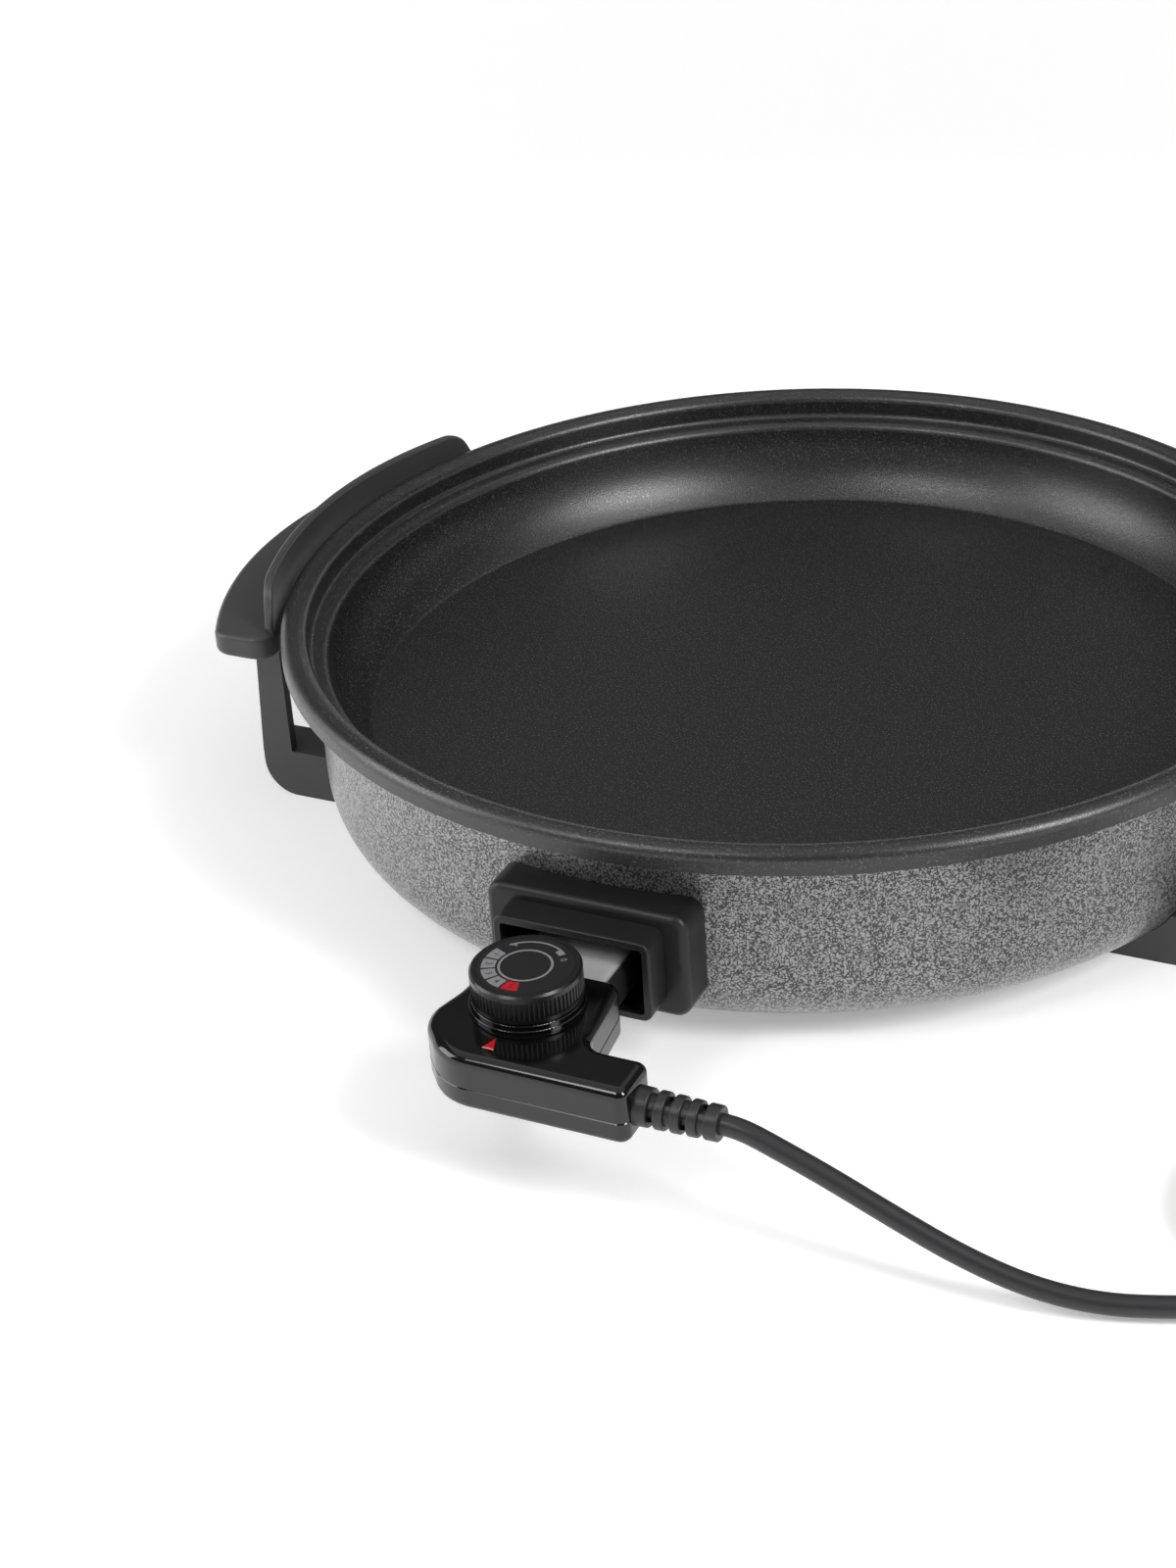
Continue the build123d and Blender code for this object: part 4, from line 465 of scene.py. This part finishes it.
def sheet_line(size, rim, top):
    """The bowl's inner face as one line, from the middle of its floor to the rim's outer lip."""
    ledge, ledge_top = rim - size.ledge_inset, top - size.ledge_drop
    corners = [Vector((x, 0, z)) for x, z in (
        (0, 0),
        (rim - size.floor_inset, 0),
        (rim - size.wall_inset, size.wall_rise),
        (ledge, ledge_top),
        (ledge + size.ledge_width, ledge_top + size.ledge_fall),
        (rim - size.bead_width, top - size.bead_fall),
        (rim - size.bead_crest, top),
        (rim, top),
        (rim, top - size.lip_height))]
    rounds = (
        size.floor_round, size.wall_bow, size.ledge_edge_round, size.ledge_round,
        size.bead_inner_round, size.bead_top_round, size.bead_outer_round)
    return rounded_line(corners, rounds, size.arc_step)


def printed_band(inner, outer, start, sweep, height):
    """A curved band on the dial: a radial edge spun about the knob's axis and thickened."""
    way = Vector((cos(start), sin(start), 0))
    band = drawn_wire([KNOB_AXIS + way * inner, KNOB_AXIS + way * outer])
    bpy.ops.mesh.select_all(action="SELECT")
    bpy.ops.mesh.spin(
        steps=max(BAND_STEPS, ceil(sweep / BAND_STEP)), angle=-sweep, center=KNOB_AXIS,
        axis=(0, 0, 1))
    thicken(height)
    return band


def printed_figure(text, radius, bearing, size, height):
    """A figure on the dial, its top towards the knob's axis."""
    clear_selection()
    place = KNOB_AXIS + Vector((cos(bearing), sin(bearing), 0)) * radius
    bpy.ops.object.text_add(location=place, rotation=(0, 0, bearing + pi / 2))
    figure = bpy.context.object
    figure.data.body = text
    figure.data.size = size
    figure.data.align_x = "CENTER"
    figure.data.align_y = "CENTER"
    figure.data.extrude = height
    bpy.ops.object.convert(target="MESH")
    return bpy.context.object


def printed_barb(dial):
    """The arrow's barb: a short band whose inner edge runs out to its outer one."""
    barb = printed_band(
        dial.barb_inner, dial.barb_outer, dial.barb_start, dial.barb_sweep, dial.print_thick)
    depth = dial.barb_outer - dial.barb_inner
    for vertex in barb.data.vertices:
        outward = vertex.co - KNOB_AXIS
        share = (atan2(outward.y, outward.x) - dial.barb_start) / dial.barb_sweep
        if outward.xy.length < dial.barb_inner + depth / 2:
            outward.xy = outward.xy.normalized() * (dial.barb_inner + depth * share)
            vertex.co = KNOB_AXIS + outward
    return barb


def fall_route(lead):
    """Points of the lead from its exit down to where it rests on the table."""
    drop = LEAD_EXIT.z - (TABLE + lead.lift)
    return [
        LEAD_EXIT + Vector((out * MM, side * MM, -drop * share)) for out, side, share in LEAD_FALL]


def coil_route(start, heading, lead):
    """Points of a coil in two layers: wound inwards, half a turn up, then wound outwards."""
    rate = lead.coil_step / (2 * pi)
    phase = atan2(heading.y, heading.x) - pi / 2 - atan2(rate, lead.coil_radius)
    entry = start + heading * lead.diameter
    middle = entry - Vector((cos(phase), sin(phase), 0)) * lead.coil_radius
    layer = pi * (lead.coil_turns - 0.5)
    total = 2 * layer + pi
    steps = round(lead.coil_turns * lead.points_per_turn)
    points = []
    for index in range(steps + 1):
        turned = total * index / steps
        bearing = phase + turned
        rising = min(max(turned - layer, 0), pi)
        wound = min(turned, layer) - max(turned - layer - pi, 0) + rising * (1 - rising / pi)
        reach = Vector((cos(bearing), sin(bearing), 0)) * (lead.coil_radius - rate * wound)
        climb = lead.coil_step * (rising / pi) ** 2 * (3 - 2 * rising / pi)
        points.append(middle + reach + Vector((0, 0, climb)))
    last = phase + total
    leaving = Vector((-sin(last), cos(last), 0)) * lead.coil_radius
    leaving += Vector((cos(last), sin(last), 0)) * rate
    return points + [points[-1] + leaving.normalized() * lead.diameter]


def drawn_lead(route, diameter):
    """A round NURBS lead along the route."""
    line = bpy.data.curves.new("mains_lead", "CURVE")
    line.dimensions = "3D"
    line.bevel_depth = diameter / 2
    line.bevel_resolution = 6
    line.resolution_u = 8
    line.use_fill_caps = True
    spline = line.splines.new("NURBS")
    spline.points.add(len(route) - 1)
    for point, place in zip(spline.points, route):
        point.co = (*place, 1)
    spline.order_u = 3
    spline.use_endpoint_u = True
    cord = bpy.data.objects.new("mains_lead", line)
    bpy.context.collection.objects.link(cord)
    return cord


def paper_finish(stage):
    """Pale paper that looks white to the eye, in gloss and through glass, more so far away."""
    paper = Finish("studio_paper", Roughness=0.9, Specular_IOR_Level=0.1, Emission_Strength=1.0)
    tooth = paper.noise(scale=220, detail=3.0)
    seen = paper.node("ShaderNodeLightPath", output="Is Camera Ray")
    seen += paper.node("ShaderNodeLightPath", output="Is Glossy Ray")
    seen += paper.node("ShaderNodeLightPath", output="Is Transmission Ray")
    away = paper.node(
        "ShaderNodeVectorMath", {"operation": "LENGTH"}, {0: paper.place}, output="Value")
    far = paper.rise(away, low=stage.glow_near, high=stage.glow_far)
    glow = paper.mix(far, stage.floor_glow[:], WHITE)
    return paper.surface(
        Base_Color=paper.mix(tooth, stage.floor_colour[:], faded(stage.floor_colour, 0.99)),
        Emission_Color=paper.mix(seen, BLACK, glow))


def lay_floor(stage):
    """Lays the round floor and draws its edge up into the backdrop."""
    clear_selection()
    bpy.ops.mesh.primitive_circle_add(
        vertices=stage.floor_sides, radius=stage.floor_radius, fill_type="NGON",
        location=(0, 0, TABLE))
    floor = bpy.context.object
    floor.name = "studio_floor"
    bpy.ops.object.mode_set(mode="EDIT")
    bpy.ops.mesh.select_mode(type="EDGE")
    bpy.ops.mesh.select_all(action="SELECT")
    bpy.ops.mesh.extrude_edges_move(
        TRANSFORM_OT_translate={"value": (0, 0, stage.backdrop_height)})
    bpy.ops.object.mode_set(mode="OBJECT")
    floor.data.materials.append(paper_finish(stage))


def hang_softboxes():
    """Hangs the softboxes: each faces the pan, and one further back faces straight down."""
    for name, place, size, power in SOFTBOXES:
        clear_selection()
        facing = Vector((place[0], min(place[1], 0), place[2])).to_track_quat("Z", "Y")
        bpy.ops.object.light_add(type="AREA", location=place, rotation=facing.to_euler())
        lamp = bpy.context.object
        lamp.name = name
        lamp.data.shape = "RECTANGLE"
        lamp.data.size, lamp.data.size_y = size
        lamp.data.energy = power


def stand_camera(stage):
    """Stands the camera where it sees the pan from the front and above."""
    clear_selection()
    bpy.ops.object.camera_add(location=stage.camera_place, rotation=stage.camera_turn)
    camera = bpy.context.object
    camera.name = "studio_camera"
    camera.data.sensor_fit = "VERTICAL"
    camera.data.sensor_height = 36
    camera.data.lens = stage.camera_lens
    camera.data.shift_x, camera.data.shift_y = stage.camera_shift
    bpy.context.scene.camera = camera


class PAN_OT_spin_bowl(Operator):
    """Spin the bowl's sheet and coat it"""

    bl_idname = "pan.spin_bowl"
    bl_label = "Spin bowl"

    def execute(self, context):
        size = context.scene.pan_bowl
        low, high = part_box("cooking_pan")
        bowl = drawn_wire(sheet_line(size, high.x, high.z))
        bpy.ops.mesh.select_all(action="SELECT")
        bpy.ops.mesh.spin(steps=size.spin_steps, angle=2 * pi, center=(0, 0, 0), axis=(0, 0, 1))
        bpy.ops.mesh.select_all(action="SELECT")
        bpy.ops.mesh.remove_doubles(threshold=SAME_POINT)
        bpy.ops.mesh.normals_make_consistent(inside=False)
        bpy.ops.object.mode_set(mode="OBJECT")
        # The sheet grows away from the cooking side, whichever way the spun faces point.
        floor = min(bowl.data.polygons, key=lambda face: face.center.xy.length)
        sheet = bowl.modifiers.new("sheet", "SOLIDIFY")
        sheet.thickness = -low.z
        sheet.offset = -1 if floor.normal.z > 0 else 1
        sheet.use_even_offset = True
        bpy.ops.object.modifier_apply(modifier="sheet")
        bpy.ops.object.shade_smooth_by_angle(angle=SMOOTH_BELOW)
        flats = bowl.modifiers.new("flats", "WEIGHTED_NORMAL")
        flats.keep_sharp = True
        bpy.ops.object.modifier_apply(modifier="flats")
        coating = coating_finish(context.scene.pan_finish)
        paint(coating, "cooking_pan")
        settle(bowl, "bowl", coating, "pan")
        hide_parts("cooking_pan")
        return {"FINISHED"}


class PAN_OT_lacquer_shell(Operator):
    """Lacquer the outer shell"""

    bl_idname = "pan.lacquer_shell"
    bl_label = "Lacquer shell"

    def execute(self, context):
        paint(lacquer_finish(context.scene.pan_finish), "outer_shell")
        return {"FINISHED"}


class PAN_OT_mould_handles(Operator):
    """Finish the handles and the socket in phenolic"""

    bl_idname = "pan.mould_handles"
    bl_label = "Mould handles"

    def execute(self, context):
        shade = context.scene.pan_finish.phenolic
        handle = moulded_finish(
            "handle_phenolic", shade, roughness=0.4, grain=900, depth=0.05 * MM)
        paint(handle, "handle_left", "handle_right")
        socket = moulded_finish(
            "socket_phenolic", faded(shade, 0.3), roughness=0.4, grain=900, depth=0.05 * MM,
            gloss=0.35)
        paint(socket, "socket_housing", "terminal_block", "clamp_bar")
        return {"FINISHED"}


class PAN_OT_finish_metals(Operator):
    """Finish the metal and ceramic pieces"""

    bl_idname = "pan.finish_metals"
    bl_label = "Finish metals"

    def execute(self, context):
        colours = context.scene.pan_finish
        paint(sleeve_finish(colours), "plug_sleeve")
        paint(
            metal_finish("zinc_plate", colours.zinc, roughness=0.32),
            "heating_element", "pan_studs", "element_clamps", "clamp_nuts", "base_nuts",
            "shell_spacers", "terminal_plate", "socket_screws", "terminal_pins", "well_strap",
            "foot_screws", "foot_nuts", "case_screws", "sensor_probe", "thermostat_frame",
            "clamp_screws", "knob_spindle")
        paint(metal_finish("mill_aluminium", colours.aluminium, roughness=0.4), "heat_spreader")
        paint(
            metal_finish("plain_brass", colours.brass, roughness=0.28),
            "earth_strip", "sensor_well", "contact_tubes", "bimetal_blade", "contact_blade",
            "plug_pins", "plug_earth_clips")
        paint(
            moulded_finish(
                "steatite", colours.steatite, roughness=0.45, grain=700, depth=0.04 * MM),
            "element_bushes", "contact_carrier", "stack_insulators")
        return {"FINISHED"}


class PAN_OT_finish_control(Operator):
    """Finish the control's case, knob and pilot light"""

    bl_idname = "pan.finish_control"
    bl_label = "Finish control"

    def execute(self, context):
        colours = context.scene.pan_finish
        case = moulded_finish(
            "gloss_case", colours.case, roughness=0.12, grain=160, depth=0.004 * MM, gloss=0.6)
        paint(case, "case_top", "case_bottom")
        knob = moulded_finish(
            "knob_plastic", colours.knob, roughness=0.3, grain=700, depth=0.02 * MM)
        paint(knob, "knob")
        face = moulded_finish(
            "dial_face", colours.dial, roughness=0.45, grain=1500, depth=0.03 * MM, gloss=0.2)
        paint(face, "knob_dial")
        paint(lens_finish(colours.lens), "pilot_lens")
        bulb = moulded_finish(
            "lamp_bulb", colours.bulb, roughness=0.15, grain=300, depth=0.01 * MM, coat=0.5)
        paint(bulb, "pilot_lamp")
        return {"FINISHED"}


class PAN_OT_print_dial(Operator):
    """Print the ring, arrow, blocks and figures on the dial"""

    bl_idname = "pan.print_dial"
    bl_label = "Print dial"

    def execute(self, context):
        dial = context.scene.pan_dial
        colours = context.scene.pan_finish
        light = print_finish("print_light", colours.print_light)
        red = print_finish("print_red", colours.print_red)
        dark = print_finish("print_dark", colours.dial)
        thick = dial.print_thick
        ring = printed_band(dial.ring_inner, dial.ring_outer, 0, 2 * pi, thick)
        settle(ring, "dial_ring", light, "knob")
        sweep = dial.block_sweep
        middle = (dial.block_inner + dial.block_outer) / 2
        for index in range(dial.blocks):
            bearing = dial.first_block + index * dial.block_pitch
            ink = red if index == dial.blocks - 1 else light
            block = printed_band(
                dial.block_inner, dial.block_outer, bearing - sweep / 2, sweep, thick)
            settle(block, f"dial_block_{index + 1}", ink, "knob")
            figure = printed_figure(
                str(index + 1), middle, bearing, dial.figure_height, 1.5 * thick)
            settle(figure, f"dial_figure_{index + 1}", dark, "knob")
        tail = printed_band(
            dial.tail_inner, dial.arrow_outer, dial.tail_start, dial.tail_sweep, thick)
        settle(tail, "dial_arrow_tail", light, "knob")
        shaft_start = dial.tail_start + dial.tail_sweep
        shaft = printed_band(
            dial.shaft_inner, dial.arrow_outer, shaft_start, dial.shaft_sweep, thick)
        settle(shaft, "dial_arrow_shaft", light, "knob")
        settle(printed_barb(dial), "dial_arrow_barb", light, "knob")
        zero = printed_figure("0", dial.zero_radius, dial.zero_bearing, dial.figure_height, thick)
        settle(zero, "dial_figure_0", light, "knob")
        return {"FINISHED"}


class PAN_OT_lay_lead(Operator):
    """Lay the mains lead down to the table and into its coil"""

    bl_idname = "pan.lay_lead"
    bl_label = "Lay lead"

    def execute(self, context):
        lead = context.scene.pan_lead
        shade = context.scene.pan_finish.sheath
        sheath = moulded_finish("lead_sheath", shade, roughness=0.42, grain=500, depth=0.04 * MM)
        paint(sheath, "strain_relief", "lead_end", "cord_tie", "supply_cord", "cord_coil")
        plug = moulded_finish("plug_body", shade, roughness=0.5, grain=900, depth=0.06 * MM)
        paint(plug, "mains_plug")
        route = fall_route(lead)
        heading = (route[-1] - route[-2]).normalized()
        route += coil_route(route[-1], heading, lead)
        cord = drawn_lead(route, lead.diameter)
        cord.data.materials.append(sheath)
        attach(cord, "control")
        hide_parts("supply_cord", "cord_coil")
        return {"FINISHED"}


class PAN_OT_set_stage(Operator):
    """Set up the floor, the lights and the camera"""

    bl_idname = "pan.set_stage"
    bl_label = "Set stage"

    def execute(self, context):
        stage = context.scene.pan_stage
        lay_floor(stage)
        world = bpy.data.worlds.new("studio_world")
        world.use_nodes = True
        world.node_tree.nodes["Background"].inputs["Color"].default_value = stage.world_colour[:]
        context.scene.world = world
        hang_softboxes()
        stand_camera(stage)
        context.scene.view_settings.view_transform = "Standard"
        return {"FINISHED"}


OPERATORS = (
    PAN_OT_spin_bowl, PAN_OT_lacquer_shell, PAN_OT_mould_handles, PAN_OT_finish_metals,
    PAN_OT_finish_control, PAN_OT_print_dial, PAN_OT_lay_lead, PAN_OT_set_stage)
GROUPS = {
    "pan_finish": PAN_PG_finish, "pan_bowl": PAN_PG_bowl, "pan_dial": PAN_PG_dial,
    "pan_lead": PAN_PG_lead, "pan_stage": PAN_PG_stage}


class PAN_PT_panel(Panel):
    """Lists the steps that dress the pan"""

    bl_label = "Party pan"
    bl_idname = "PAN_PT_panel"
    bl_space_type = "VIEW_3D"
    bl_region_type = "UI"
    bl_category = "Pan"

    def draw(self, context):
        for operator in OPERATORS:
            self.layout.operator(operator.bl_idname)
        for name, group in GROUPS.items():
            box = self.layout.box()
            for key in group.__annotations__:
                box.prop(getattr(context.scene, name), key)


def register():
    for group in GROUPS.values():
        bpy.utils.register_class(group)
    for name, group in GROUPS.items():
        setattr(bpy.types.Scene, name, PointerProperty(type=group))
    for cls in (*OPERATORS, PAN_PT_panel):
        bpy.utils.register_class(cls)


def unregister():
    for cls in (PAN_PT_panel, *reversed(OPERATORS)):
        bpy.utils.unregister_class(cls)
    for name in GROUPS:
        delattr(bpy.types.Scene, name)
    for group in reversed(GROUPS.values()):
        bpy.utils.unregister_class(group)


def main():
    """Dresses the pan step by step."""
    register()
    bpy.ops.pan.spin_bowl()
    bpy.ops.pan.lacquer_shell()
    bpy.ops.pan.mould_handles()
    bpy.ops.pan.finish_metals()
    bpy.ops.pan.finish_control()
    bpy.ops.pan.print_dial()
    bpy.ops.pan.lay_lead()
    bpy.ops.pan.set_stage()


if __name__ == "__main__":
    main()
